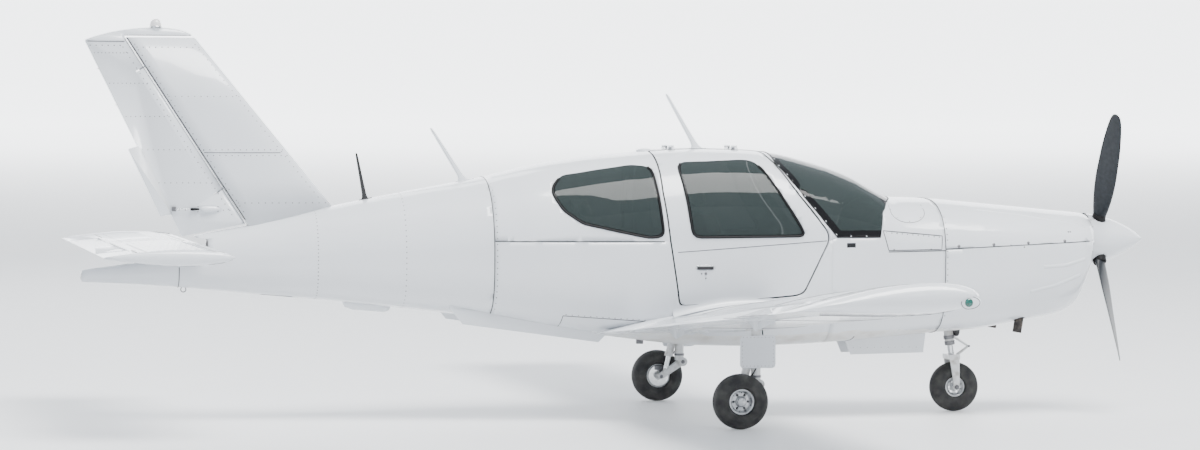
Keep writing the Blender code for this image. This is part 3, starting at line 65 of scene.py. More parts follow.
# Hull stations: x, top z, bottom z, half width, z of the widest line, upper and lower roundness
HULL_STATIONS = (
    (-3.855, 1.058, 0.976, 0.035, 1.015, 2.0, 2.0),
    (-3.450, 1.120, 0.955, 0.082, 1.045, 2.2, 2.2),
    (-3.160, 1.270, 0.932, 0.120, 1.080, 2.1, 2.3),
    (-2.620, 1.382, 0.880, 0.200, 1.110, 2.1, 2.5),
    (-2.100, 1.500, 0.832, 0.290, 1.130, 2.1, 2.7),
    (-1.640, 1.590, 0.782, 0.385, 1.145, 2.1, 3.0),
    (-1.045, 1.700, 0.712, 0.520, 1.165, 2.2, 3.3),
    (-0.660, 1.788, 0.654, 0.595, 1.190, 2.3, 3.6),
    (-0.190, 1.855, 0.580, 0.650, 1.220, 2.4, 3.9),
    (0.480, 1.902, 0.508, 0.680, 1.250, 2.5, 4.0),
    (0.820, 1.894, 0.500, 0.680, 1.250, 2.5, 4.0),
    (1.040, 1.870, 0.504, 0.675, 1.245, 2.5, 4.0),
    (1.290, 1.811, 0.514, 0.662, 1.230, 2.5, 4.0),
    (1.560, 1.722, 0.531, 0.642, 1.210, 2.5, 3.9),
    (1.800, 1.594, 0.550, 0.622, 1.180, 2.6, 3.8),
    (1.900, 1.556, 0.558, 0.612, 1.165, 2.6, 3.8),
    (2.190, 1.544, 0.580, 0.588, 1.140, 2.6, 3.6),
    (2.540, 1.514, 0.606, 0.560, 1.140, 2.6, 3.4),
    (2.880, 1.482, 0.662, 0.520, 1.150, 2.5, 3.2),
    (3.120, 1.459, 0.702, 0.480, 1.165, 2.4, 3.0),
    (3.250, 1.447, 0.756, 0.445, 1.185, 2.3, 2.7),
    (3.340, 1.438, 0.930, 0.395, 1.215, 2.2, 2.4),
    (3.385, 1.430, 1.050, 0.330, 1.240, 2.0, 2.0),
)
CABIN_FRONT_X = 1.345
LUGGAGE_HINGE_Z = 1.2182
CABIN_REAR_X = -1.045
FIREWALL_X = 2.190
HULL_POINTS = 24
FRAME_PITCH = 0.280

# Wing
WING_LE_X = 1.129
WING_CHORD = 1.220
WING_TE_Z = 0.594
WING_RISE = 0.085
DIHEDRAL = 0.0822
WING_THICKNESS = 0.155
WING_CAMBER = 0.020
FOIL_POINTS = 12
WING_RIBS = (0.76, 1.12, 1.54, 1.90, 2.30, 2.70, 3.10, 3.50, 3.90, 4.25, 4.58)
WING_SPARS = (0.155, 0.42, 0.74)

HUB = Vector((3.500, 0.0, 1.245))
MAIN_AXLE = Vector((0.520, 1.295, 0.190))
NOSE_AXLE = Vector((2.430, 0.0, 0.178))
LEG_X = 0.660
LEG_Y = 1.165

# Tail
FIN_LE = ((-2.030, 1.400), (-3.051, 2.643))
FIN_GAP = ((-2.726, 1.400), (-3.533, 2.643))
RUDDER_TE = ((-3.216, 1.400), (-3.832, 2.643))
FIN_THICKNESS = 0.105
STAB_LE_X = -3.005
STAB_Z = 1.212
STAB_THICKNESS = 0.092
TAIL_X = -3.855
TAB_HINGE_X = -3.662
TAB_ROD_Z = 1.478
FAIRING_X = -2.985
BEACON_X = -3.343
BEACON_Z = 2.7395

# Propeller
SPINNER_REAR_X = 3.4063
SPINNER_LENGTH = 0.4487
SPINNER_ROWS = (0.0, 0.18, 0.36, 0.54, 0.72, 0.88, 0.96, 1.0)
SPINNER_STEP = math.tau / 24
BLADE_COUNT = 3
BLADE_TURN = math.radians(27.0)
BLADE_POINTS = 32
# Blade stations: radius, chord, thickness, pitch in degrees
BLADE_STATIONS = (
    (0.060, 0.072, 0.070, 52.0), (0.150, 0.080, 0.072, 50.0), (0.240, 0.118, 0.050, 46.0),
    (0.380, 0.162, 0.032, 40.0), (0.540, 0.184, 0.023, 34.0), (0.700, 0.182, 0.018, 30.0),
    (0.850, 0.158, 0.014, 27.0), (0.930, 0.133, 0.011, 25.6), (0.970, 0.110, 0.009, 25.0),
    (0.995, 0.084, 0.008, 24.4), (1.008, 0.057, 0.006, 24.1), (1.015, 0.020, 0.003, 24.0),
)
BLADE_PLACES = ([0.060 + 0.030 * k for k in range(31)] + [0.975, 0.988, 0.997, 1.004, 1.009, 1.0125, 1.015])

# Antennas: name, foot x and z, tip x and z, half width of the foot, dark
ANTENNAS = (
    ("antenna_dark", (-1.873, 1.530), (-1.939, 1.869), 0.035, True),
    ("antenna_rear", (-1.166, 1.660), (-1.410, 2.044), 0.050, False),
    ("antenna_roof", (0.519, 1.890), (0.288, 2.289), 0.050, False),
)

# Seats: cushion, back and headrest in side view, then the spans of the seat and of its headrest
FRONT_SEAT = (
    ((0.600, 0.940), (1.120, 0.960), (1.130, 1.060), (0.600, 1.040)),
    ((0.560, 0.950), (0.680, 0.960), (0.505, 1.480), (0.400, 1.465)),
    ((0.415, 1.490), (0.500, 1.490), (0.470, 1.640), (0.385, 1.630)),
    (0.075, 0.575), (0.190, 0.460),
)
REAR_SEAT = (
    ((-0.220, 0.900), (0.240, 0.930), (0.250, 1.030), (-0.220, 1.000)),
    ((-0.240, 0.900), (-0.120, 0.920), (-0.300, 1.410), (-0.400, 1.395)),
    ((-0.395, 1.415), (-0.305, 1.415), (-0.340, 1.545), (-0.420, 1.535)),
    (-0.540, 0.540), (0.170, 0.420),
)

BELT = ((0.480, 0.545, 1.350), (0.585, 0.525, 1.200), (0.690, 0.465, 1.060), (0.740, 0.385, 1.052),
        (0.760, 0.305, 1.060))

# The instrument panel's face, and its dials: y, z, radius
PANEL_X = 1.4405
DIALS = (
    (0.450, 1.262, 0.034), (0.360, 1.270, 0.034), (0.270, 1.270, 0.034), (0.450, 1.175, 0.034),
    (0.270, 1.185, 0.034), (0.360, 1.180, 0.034), (0.012, 1.120, 0.024), (0.080, 1.120, 0.024),
    (-0.260, 1.260, 0.024), (-0.330, 1.260, 0.024), (-0.400, 1.260, 0.024), (-0.470, 1.260, 0.024),
    (-0.260, 1.190, 0.024), (-0.470, 1.190, 0.024),
)


# Places in rows and rings

def angles(count, share=0.0):
    """Even angles round a full turn, from a share of one step on."""
    return [math.tau * (k + share) / count for k in range(count)]


def between(a, b, count):
    """Places in even steps from one place to another, both ends included."""
    return [tuple(p + (q - p) * k / count for p, q in zip(a, b)) for k in range(count + 1)]


# Hull shape

def table_value(table, x, column):
    """A column of a table at x, by a cubic through its rows with slopes that never overshoot."""
    last = len(table) - 2
    k = max(0, min(last, sum(1 for row in table if row[0] <= x) - 1))

    def slope(i):
        return (table[i + 1][column] - table[i][column]) / (table[i + 1][0] - table[i][0])

    def tangent(i):
        if i == 0:
            return slope(0)
        if i == len(table) - 1:
            return slope(last)
        a, b = slope(i - 1), slope(i)
        return 0.0 if a * b <= 0 else 2 * a * b / (a + b)

    x0, x1 = table[k][0], table[k + 1][0]
    t = (x - x0) / (x1 - x0)
    span = x1 - x0
    return (table[k][column] * (1 + 2 * t) * (1 - t) ** 2 + span * tangent(k) * t * (1 - t) ** 2
            + table[k + 1][column] * t * t * (3 - 2 * t) + span * tangent(k + 1) * t * t * (t - 1))


def hull_value(x, column):
    """One value of the hull's section at x: the columns are those of the table of stations."""
    return table_value(HULL_STATIONS, x, column)


def hull_section(x):
    """Top, bottom, half width, height of the widest line, and upper and lower roundness at x."""
    return [hull_value(x, column) for column in range(1, 7)]


def hull_frames():
    """Places of the solids' cross-sections, between which their skins are straight."""
    marks = sorted([row[0] for row in HULL_STATIONS] + [CABIN_FRONT_X])
    places = []
    for a, b in zip(marks, marks[1:]):
        parts = max(1, math.ceil((b - a) / FRAME_PITCH))
        places += [a + (b - a) * k / parts for k in range(parts)]
    return places + [marks[-1]]


FRAMES = hull_frames()


def hull_ring(x):
    """Corners of the smooth section at x, as y and z."""
    top, bottom, half, waist, up, low = hull_section(x)
    ring = []
    for angle in angles(HULL_POINTS, 0.5):
        across, rise = math.cos(angle), math.sin(angle)
        power = 2.0 / (up if rise > 0 else low)
        height = (top if rise > 0 else bottom) - waist
        ring.append((half * math.copysign(abs(across) ** power, across), waist + height * abs(rise) ** power))
    return ring


RINGS = {}


def faceted_ring(x):
    """Corners of the solids' skin at x, as y and z: straight between two frames."""
    key = round(x, 5)
    if key not in RINGS:
        k = max(0, min(len(FRAMES) - 2, sum(1 for place in FRAMES if place <= x) - 1))
        t = (x - FRAMES[k]) / (FRAMES[k + 1] - FRAMES[k])
        rear, front = hull_ring(FRAMES[k]), hull_ring(FRAMES[k + 1])
        RINGS[key] = [(a[0] + (b[0] - a[0]) * t, a[1] + (b[1] - a[1]) * t) for a, b in zip(rear, front)]
    return RINGS[key]


def faceted_reach(x, angle, waist):
    """Distance from the middle of the section to the solids' skin in a direction."""
    corners = [(math.atan2(z - waist, y) % math.tau, math.hypot(y, z - waist)) for y, z in faceted_ring(x)]
    corners.sort()
    after = next((i for i, corner in enumerate(corners) if corner[0] > angle), 0)
    (a0, r0), (a1, r1) = corners[after - 1], corners[after]
    span = (a1 - a0) % math.tau
    turn = (angle - a0) % math.tau
    return r0 * r1 * math.sin(span) / (r0 * math.sin(turn) + r1 * math.sin(span - turn))


def smooth_reach(x, angle):
    """Distance from the middle of the section to the true skin in a direction."""
    top, bottom, half, waist, up, low = hull_section(x)
    across, rise = abs(math.cos(angle)), math.sin(angle)
    power = up if rise > 0 else low
    height = top - waist if rise > 0 else waist - bottom
    return ((across / half) ** power + (abs(rise) / height) ** power) ** (-1.0 / power)


def hull_y(x, z):
    """Half width of the true skin at a place in side view."""
    top, bottom, half, waist, up, low = hull_section(x)
    reach = (z - waist) / (top - waist) if z > waist else (waist - z) / (waist - bottom)
    power = up if z > waist else low
    return half * max(0.0, 1.0 - min(1.0, reach) ** power) ** (1.0 / power)


def hull_low_z(x, y):
    """Height of the true skin's underside at a place in plan view."""
    _, bottom, half, waist, _, low = hull_section(x)
    return waist - (waist - bottom) * max(0.0, 1.0 - min(1.0, abs(y) / half) ** low) ** (1.0 / low)


def on_side(x, z, sign, lift=0.0):
    """A point on the hull's side, and the way out of it, from a place in side view."""
    step = 0.004
    y = hull_y(x, z)
    slope_x = (hull_y(x + step, z) - hull_y(x - step, z)) / (2 * step)
    slope_z = (hull_y(x, z + step) - hull_y(x, z - step)) / (2 * step)
    out = Vector((-slope_x, 1.0, -slope_z)).normalized()
    point = Vector((x, y, z)) + out * lift
    return Vector((point.x, sign * point.y, point.z)), Vector((out.x, sign * out.y, out.z))


def on_angle(x, angle, lift=0.0):
    """A point on the hull at x in a direction from the section's middle, and the way out of it."""
    def place(at, turn):
        reach = smooth_reach(at, turn % math.tau)
        return Vector((at, reach * math.cos(turn), hull_value(at, 4) + reach * math.sin(turn)))
    here = place(x, angle)
    along = place(x + 0.004, angle) - place(x - 0.004, angle)
    around = place(x, angle + 0.01) - place(x, angle - 0.01)
    out = around.cross(along).normalized()
    if out.dot(Vector((0, math.cos(angle), math.sin(angle)))) < 0:
        out.negate()
    return here + out * lift, out


# Wing shape

def foil_half(c, thickness=WING_THICKNESS):
    """Half the thickness of a section at a share of its chord, in chords."""
    c = max(0.0, c)
    return 5 * thickness * (0.2969 * math.sqrt(c) - 0.1260 * c - 0.3516 * c ** 2 + 0.2843 * c ** 3 - 0.1026 * c ** 4)


def foil_height(c, up, faceted=False):
    """Height above the chord line in chords, of the true section or of the solids' straight-sided one."""
    if not faceted:
        return WING_CAMBER * 4 * c * (1 - c) + up * max(foil_half(c), 0.0012)
    knots = [1 - math.cos(math.pi * i / (2 * FOIL_POINTS)) for i in range(FOIL_POINTS + 1)]
    k = max(0, min(FOIL_POINTS - 1, sum(1 for knot in knots if knot <= c) - 1))
    t = (c - knots[k]) / (knots[k + 1] - knots[k])
    return foil_height(knots[k], up) * (1 - t) + foil_height(knots[k + 1], up) * t


def wing_point(y, c, height):
    """The place at a span, a share of the chord and a height above the chord line in chords."""
    z = WING_TE_Z + DIHEDRAL * abs(y) + WING_RISE * (1 - c) + height * WING_CHORD
    return Vector((WING_LE_X - c * WING_CHORD, y, z))


def on_wing(y, c, up, lift=0.0):
    """A point on the wing's skin, above or below, and the way out of it."""
    here = wing_point(y, c, foil_height(c, up))
    along = wing_point(y, c + 0.004, foil_height(c + 0.004, up)) - here
    across = wing_point(y + 0.01, c, foil_height(c, up)) - here
    out = along.cross(across).normalized()
    if out.z * up < 0:
        out.negate()
    return here + out * lift, out


def spinner_reach(t):
    """The spinner's radius at a share of its length."""
    return 0.183 * (1 - t ** 1.75) ** 0.86


def blade_ring(radius):
    """A blade's section: round at the root, then cambered, with its thick edge ahead."""
    chord, thick, pitch = (table_value(BLADE_STATIONS, radius, column) for column in (1, 2, 3))
    share = max(0.0, min(1.0, (radius - 0.18) / 0.20))
    turn = math.radians(pitch)
    ring = []
    for angle in angles(BLADE_POINTS):
        across, rise = math.cos(angle), math.sin(angle)
        swell = 1.0 + share * (0.32 * across + (0.30 if rise > 0 else -0.45))
        u, v = 0.5 * chord * across, 0.5 * thick * rise * swell
        ring.append(Vector((u * math.sin(turn) + v * math.cos(turn), -u * math.cos(turn) + v * math.sin(turn),
                            radius)))
    return ring


def exhaust_place(z, sign):
    """The middle of an exhaust pipe at a height: it leans back as it goes down."""
    return Vector((2.842 + 0.160 * (z - 0.780), sign * 0.300, z))


# Building

def material(name, color, roughness, values=()):
    """A new material and its shader, with the values that are the same all over set on the shader."""
    made = bpy.data.materials.new(name)
    made.use_nodes = True
    shader = made.node_tree.nodes["Principled BSDF"]
    shader.inputs["Base Color"].default_value = (*color, 1.0)
    shader.inputs["Roughness"].default_value = roughness
    for label, value in dict(values).items():
        shader.inputs[label].default_value = value
    return made, shader


def texture(made, kind, scale, detail=3.0, bands="X"):
    """The value of a procedural texture on object coordinates, in metres."""
    tree = made.node_tree
    place = tree.nodes.new("ShaderNodeTexCoord")
    pattern = tree.nodes.new("ShaderNodeTex" + kind)
    pattern.inputs["Scale"].default_value = scale
    pattern.inputs["Detail"].default_value = detail
    if kind == "Wave":
        pattern.bands_direction = bands
    tree.links.new(place.outputs["Object"], pattern.inputs["Vector"])
    return pattern.outputs["Distance" if kind == "Voronoi" else "Fac"]


def ramp(made, value, stops):
    """A colour ramp over a value: stops of place and colour."""
    node = made.node_tree.nodes.new("ShaderNodeValToRGB")
    while len(node.color_ramp.elements) < len(stops):
        node.color_ramp.elements.new(0.5)
    for element, (place, color) in zip(node.color_ramp.elements, stops):
        element.position = place
        element.color = (*color, 1.0)
    made.node_tree.links.new(value, node.inputs["Fac"])
    return node.outputs["Color"]


def bump(made, shader, value, strength, distance):
    """Relief from a value, on a shader's normal."""
    node = made.node_tree.nodes.new("ShaderNodeBump")
    node.inputs["Strength"].default_value = strength
    node.inputs["Distance"].default_value = distance
    made.node_tree.links.new(value, node.inputs["Height"])
    made.node_tree.links.new(node.outputs["Normal"], shader.inputs["Normal"])


def remap(made, value, low, high):
    """A value from 0 to 1 spread between two others."""
    node = made.node_tree.nodes.new("ShaderNodeMapRange")
    node.inputs["To Min"].default_value = low
    node.inputs["To Max"].default_value = high
    made.node_tree.links.new(value, node.inputs["Value"])
    return node.outputs["Result"]


def linked(name, bm):
    """A new object in the scene with the mesh under work in it."""
    mesh = bpy.data.meshes.new(name)
    bm.to_mesh(mesh)
    bm.free()
    obj = bpy.data.objects.new(name, mesh)
    bpy.context.scene.collection.objects.link(obj)
    return obj


def evaluated(obj):
    """The mesh that an object has after its modifiers."""
    return bpy.data.meshes.new_from_object(obj.evaluated_get(bpy.context.evaluated_depsgraph_get()))


def piece(name, bm, materials, body=AIRFRAME, replaces=(), smooth=32.0):
    """A finished piece at the origin, shaded smooth below an angle, that moves with a body."""
    obj = linked(name, bm)
    for entry in materials:
        obj.data.materials.append(entry)
    obj.data.shade_smooth()
    obj.data.set_sharp_from_angle(angle=math.radians(smooth))
    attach(obj, body)
    if replaces:
        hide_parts(*replaces)
    return obj


def node_copy(name):
    """A merged copy of a solid's mesh."""
    bm = bmesh.new()
    bm.from_mesh(frame["nodes"][name].data)
    bmesh.ops.remove_doubles(bm, verts=bm.verts, dist=MERGE)
    return bm


def body_of(node):
    return next(body for body, nodes in frame["record"]["behaviour"]["bodies"].items() if node in nodes)


def bisected(bm, place, normal):
    """Cuts a mesh's faces along a plane and keeps both sides."""
    bmesh.ops.bisect_plane(bm, geom=bm.verts[:] + bm.edges[:] + bm.faces[:], dist=MERGE, plane_co=place,
                           plane_no=normal)


def refine(bm, pitch):
    """Cuts a mesh along level planes so that its faces are no longer than a pitch."""
    bmesh.ops.dissolve_limit(bm, angle_limit=math.radians(0.05), verts=bm.verts, edges=bm.edges)
    for axis in range(3):
        if not pitch[axis]:
            continue
        places = [vertex.co[axis] for vertex in bm.verts]
        low, high = min(places), max(places)
        count = max(1, round((high - low) / pitch[axis]))
        normal = Vector([1.0 if k == axis else 0.0 for k in range(3)])
        for k in range(1, count):
            bisected(bm, normal * (low + (high - low) * k / count), normal)
    bmesh.ops.triangulate(bm, faces=bm.faces)
    return bm


def at_luggage_hinge(point):
    """Whether a point lies along the luggage door's hinge, where the skins stay as the solids have them."""
    return -0.965 < point.x < -0.345 and point.y > 0.3 and abs(point.z - LUGGAGE_HINGE_Z) < 0.014


def round_hull(bm):
    """Moves a refined copy's skin from the solids' flats to the hull's true curve, walls and all."""
    for vertex in bm.verts:
        x, y, z = vertex.co
        if not HULL_STATIONS[0][0] <= x <= HULL_STATIONS[-1][0] or at_luggage_hinge(vertex.co):
            continue
        waist = hull_value(x, 4)
        angle = math.atan2(z - waist, y) % math.tau
        reach = math.hypot(y, z - waist)
        if reach < 0.01:
            continue
        flat = faceted_reach(x, angle, waist)
        share = max(0.0, min(1.0, (reach / flat - 0.80) / 0.10))
        if share:
            grown = reach + (smooth_reach(x, angle) - flat) * share
            vertex.co.y = y * grown / reach
            vertex.co.z = waist + (z - waist) * grown / reach
    return bm


def round_wing(bm):
    """Moves a refined copy's skin from the solids' flats to the wing's true section."""
    for vertex in bm.verts:
        x, y, z = vertex.co
        c = (WING_LE_X - x) / WING_CHORD
        if not 0.004 < c < 0.996:
            continue
        chord_z = WING_TE_Z + DIHEDRAL * abs(y) + WING_RISE * (1 - c)
        height = (z - chord_z) / WING_CHORD
        up = 1 if height > WING_CAMBER * 4 * c * (1 - c) else -1
        flat = foil_height(c, up, True)
        if abs(height - flat) * WING_CHORD < 0.0015:
            vertex.co.z += (foil_height(c, up) - flat) * WING_CHORD
    return bm


def add_bead(points, radius, closed, sides):
    """A round bead along points, as a curve turned into a mesh."""
    curve = bpy.data.curves.new("bead", "CURVE")
    curve.dimensions = "3D"
    curve.bevel_depth = radius
    curve.bevel_resolution = sides
    curve.use_fill_caps = not closed
    spline = curve.splines.new("POLY")
    spline.points.add(len(points) - 1)
    for entry, point in zip(spline.points, points):
        entry.co = (*point, 1.0)
    spline.use_cyclic_u = closed
    holder = bpy.data.objects.new("bead", curve)
    bpy.context.scene.collection.objects.link(holder)
    mesh = evaluated(holder)
    bpy.data.objects.remove(holder, do_unlink=True)
    bpy.data.curves.remove(curve)
    return mesh


def take_in(bm, mesh):
    """Adds a finished mesh to one under work, and removes it."""
    bm.from_mesh(mesh)
    bpy.data.meshes.remove(mesh)


def beads(name, runs, radius, made, body=AIRFRAME, sides=2):
    """One piece from several beads: each run is points and whether it is closed."""
    bm = bmesh.new()
    for points, closed in runs:
        take_in(bm, add_bead(points, radius, closed, sides))
    return piece(name, bm, [made], body, smooth=60.0)


def placed(point, out):
    """A matrix that stands +Z along the way out of a surface at a point."""
    return Matrix.Translation(point) @ out.to_track_quat("Z", "Y").to_matrix().to_4x4()


def studs(name, places, radius, height, made, body=AIRFRAME, segments=8):
    """Low flat-topped heads at points with their ways out, in one mesh."""
    bm = bmesh.new()
    for point, out in places:
        bmesh.ops.create_cone(bm, cap_ends=True, segments=segments, radius1=radius, radius2=radius * 0.6,
                              depth=height, matrix=placed(point + out * (height * 0.3), out))
    return piece(name, bm, [made], body, smooth=50.0)


def rim_runs(bm, test, least=5):
    """Runs of points along the sharp edges of a copy whose both ends pass a test, in the order of its edges."""
    edges = dict.fromkeys(edge for edge in bm.edges if len(edge.link_faces) == 2
                          and edge.calc_face_angle(0.0) > math.radians(50) and all(test(v) for v in edge.verts))
    runs = []
    while edges:
        edge = next(iter(edges))
        del edges[edge]
        run = list(edge.verts)
        for _ in range(2):
            while run[0] != run[-1]:
                following = next((e for e in run[-1].link_edges if e in edges), None)
                if following is None:
                    break
                del edges[following]
                run.append(following.other_vert(run[-1]))
            run.reverse()
        closed = run[0] == run[-1]
        if closed:
            run.pop()
        if len(run) > least:
            runs.append(([vertex.co.copy() for vertex in run], closed))
    return runs


def on_skin(vertex):
    """Whether a vertex of a copy lies on the outer skin."""
    x, y, z = vertex.co
    waist = hull_value(x, 4)
    angle = math.atan2(z - waist, y) % math.tau
    return abs(math.hypot(y, z - waist) - faceted_reach(x, angle, waist)) < 0.0006


def spun(profile, centre, axis, segments):
    """A closed or open profile of place along the axis and radius, turned about an axis."""
    bm = bmesh.new()
    points = [bm.verts.new((radius, 0.0, place)) for place, radius in profile]
    edges = [bm.edges.new(pair) for pair in zip(points, points[1:])]
    bmesh.ops.spin(bm, geom=points + edges, cent=(0, 0, 0), axis=(0, 0, 1), angle=math.tau, steps=segments,
                   use_merge=True)
    bmesh.ops.remove_doubles(bm, verts=bm.verts, dist=MERGE)
    bmesh.ops.recalc_face_normals(bm, faces=bm.faces)
    bmesh.ops.transform(bm, matrix=placed(Vector(centre), Vector(axis)), verts=bm.verts)
    return bm


def bridged(rings):
    """A closed solid through loops of points, capped at both ends."""
    bm = bmesh.new()
    loops = []
    for ring in rings:
        points = [bm.verts.new(point) for point in ring]
        loops.append([bm.edges.new(pair) for pair in zip(points, points[1:] + points[:1])])
    for first, second in zip(loops, loops[1:]):
        bmesh.ops.bridge_loops(bm, edges=first + second)
    for loop in (loops[0], loops[-1]):
        bmesh.ops.contextual_create(bm, geom=loop)
    bmesh.ops.recalc_face_normals(bm, faces=bm.faces)
    return bm


def rounded_block(low, high, radius, segments=3):
    """A box with all its edges rounded."""
    bm = bmesh.new()
    bmesh.ops.create_cube(bm, size=1.0)
    low, high = Vector(low), Vector(high)
    bmesh.ops.scale(bm, vec=high - low, verts=bm.verts)
    bmesh.ops.translate(bm, vec=(low + high) / 2, verts=bm.verts)
    bmesh.ops.bevel(bm, geom=bm.edges[:], offset=radius, affect="EDGES", segments=segments, profile=0.5, material=-1)
    return bm


def dome(size, centre, segments, tail=1.0):
    """A flattened ball, drawn in behind its middle by a share."""
    bm = bmesh.new()
    bmesh.ops.create_uvsphere(bm, u_segments=segments, v_segments=segments // 2, radius=1.0)
    bmesh.ops.scale(bm, vec=size, verts=bm.verts)
    for vertex in bm.verts:
        if vertex.co.x < 0:
            vertex.co.x *= tail
    bmesh.ops.translate(bm, vec=centre, verts=bm.verts)
    return bm


def face_up(bm):
    """Turns a sheet's faces to the side that looks up."""
    if sum(face.normal.z for face in bm.faces) < 0:
        bmesh.ops.reverse_faces(bm, faces=bm.faces)


def join_into(bm, other):
    """Adds one mesh under work to another."""
    mesh = bpy.data.meshes.new("joined")
    other.to_mesh(mesh)
    other.free()
    take_in(bm, mesh)


def cut(bm, cutters):
    """A mesh with others taken out of it."""
    items = [linked("cut_form", bm), linked("cut_tool", cutters)]
    taken = items[0].modifiers.new("cut", "BOOLEAN")
    taken.operation = "DIFFERENCE"
    taken.solver = "EXACT"
    taken.object = items[1]
    result = bmesh.new()
    take_in(result, evaluated(items[0]))
    for item in items:
        data = item.data
        bpy.data.objects.remove(item, do_unlink=True)
        bpy.data.meshes.remove(data)
    return result


def dress(node, made):
    """Gives a solid that is kept as it is a better finish."""
    for entry in frame["nodes"][node].material_slots:
        entry.material = made


# Sizes and colours that a user would change

class AircraftSizes(bpy.types.PropertyGroup):
    seam: bpy.props.FloatProperty(
        name="Seam width", description="Half width of the dark lines where panels meet", default=0.0027,
        min=0.0005, max=0.01, unit="LENGTH")
    rivet: bpy.props.FloatProperty(
        name="Rivet radius", description="Radius of a rivet head", default=0.0048, min=0.001, max=0.01,
        unit="LENGTH")
    rivet_pitch: bpy.props.FloatProperty(
        name="Rivet spacing", description="Distance between rivets in a row", default=0.040, min=0.01, max=0.2,
        unit="LENGTH")
    frit: bpy.props.FloatProperty(
        name="Windshield border", description="Width of the black border round the windshield", default=0.048,
        min=0.0, max=0.1, unit="LENGTH")
    window_border: bpy.props.FloatProperty(
        name="Window border", description="Width of the black border round the side windows", default=0.014,
        min=0.0, max=0.1, unit="LENGTH")
    skin_pitch: bpy.props.FloatProperty(
        name="Skin pitch", description="Size of the faces of the hull's skins", default=0.045, min=0.02, max=0.2,
        unit="LENGTH")


class AircraftColours(bpy.types.PropertyGroup):
    paint: bpy.props.FloatVectorProperty(
        name="Paint", description="Gloss paint of the airframe", default=(0.70, 0.725, 0.76), subtype="COLOR",
        min=0.0, max=1.0)
    glass: bpy.props.FloatVectorProperty(
        name="Glass", description="Tint of the windows", default=(0.030, 0.040, 0.040), subtype="COLOR",
        min=0.0, max=1.0)
    slate: bpy.props.FloatVectorProperty(
        name="Blades", description="Satin paint of the propeller blades", default=(0.012, 0.014, 0.017),
        subtype="COLOR", min=0.0, max=1.0)
    leather: bpy.props.FloatVectorProperty(
        name="Leather", description="Seat leather", default=(0.84, 0.79, 0.70), subtype="COLOR", min=0.0, max=1.0)
    trim: bpy.props.FloatVectorProperty(
        name="Cabin trim", description="Lining of the cabin's walls and roof", default=(0.10, 0.10, 0.105),
        subtype="COLOR", min=0.0, max=1.0)


def sizes():
    return bpy.context.scene.aircraft_sizes


def colours():
    return bpy.context.scene.aircraft_colours


# Finishes

FINISHES = {}


def finish(name, color, roughness, values=(), tone=(), gloss=(), relief=()):
    """A finish, made once. Tone is a texture and its colour stops, gloss a texture and the roughness at its two
    ends, and relief a texture, its strength and its depth in metres."""
    if name not in FINISHES:
        made, shader = material(name, color, roughness, values)
        links = made.node_tree.links
        if tone:
            links.new(ramp(made, texture(made, *tone[0]), tone[1:]), shader.inputs["Base Color"])
        if gloss:
            links.new(remap(made, texture(made, *gloss[0]), *gloss[1:]), shader.inputs["Roughness"])
        if relief:
            bump(made, shader, texture(made, *relief[0]), *relief[1:])
        FINISHES[name] = made
    return FINISHES[name]


def times(color, factor):
    """A colour made lighter or darker."""
    return tuple(min(1.0, part * factor) for part in color)


def white_paint():
    """Gloss white over alloy: faint waviness of the skin, slight changes of tone and of gloss."""
    base = colours().paint
    return finish("white_paint", base, 0.22, {"Coat Weight": 0.6, "Coat Roughness": 0.06},
                  (("Noise", 1.3, 5.0), (0.30, times(base, 0.955)), (0.55, base), (0.80, times(base, 1.02))),
                  (("Noise", 9.0, 6.0), 0.16, 0.30), (("Noise", 3.2, 2.0), 0.10, 0.010))


def rivet_paint():
    """Dark grey heads, mottled at random."""
    return finish("rivet_paint", (0.36, 0.37, 0.39), 0.45,
                  tone=(("Noise", 30.0), (0.30, (0.10, 0.105, 0.115)), (0.70, (0.24, 0.25, 0.27))))


def belly_paint():
    """The same paint with a film of grey-brown grime."""
    base, grime = colours().paint, ("Noise", 6.0, 8.0)
    return finish("belly_paint", base, 0.35, {"Coat Weight": 0.3},
                  (grime, (0.30, (0.56, 0.54, 0.51)), (0.50, (0.68, 0.68, 0.67)), (0.70, base)), (grime, 0.55, 0.25))


def seam_black():
    """The shadow in the gap between two panels."""
    return finish("seam_black", (0.016, 0.017, 0.019), 0.75, {"Specular IOR Level": 0.15},
                  (("Noise", 60.0), (0.3, (0.010, 0.011, 0.012)), (0.7, (0.026, 0.027, 0.030))))


def rubber():
    """Black rubber of seals and hoses."""
    grain = ("Noise", 180.0)
    return finish("seal_rubber", (0.010, 0.010, 0.011), 0.60, {"Specular IOR Level": 0.2},
                  gloss=(grain, 0.42, 0.70), relief=(grain, 0.15, 0.0005))


def tyre_rubber():
    """Tread rubber with dust in patches."""
    return finish("tyre_rubber", (0.020, 0.020, 0.021), 0.75,
                  tone=(("Noise", 14.0, 8.0), (0.35, (0.014, 0.014, 0.015)), (0.70, (0.050, 0.048, 0.045))),
                  relief=(("Noise", 220.0), 0.25, 0.0006))


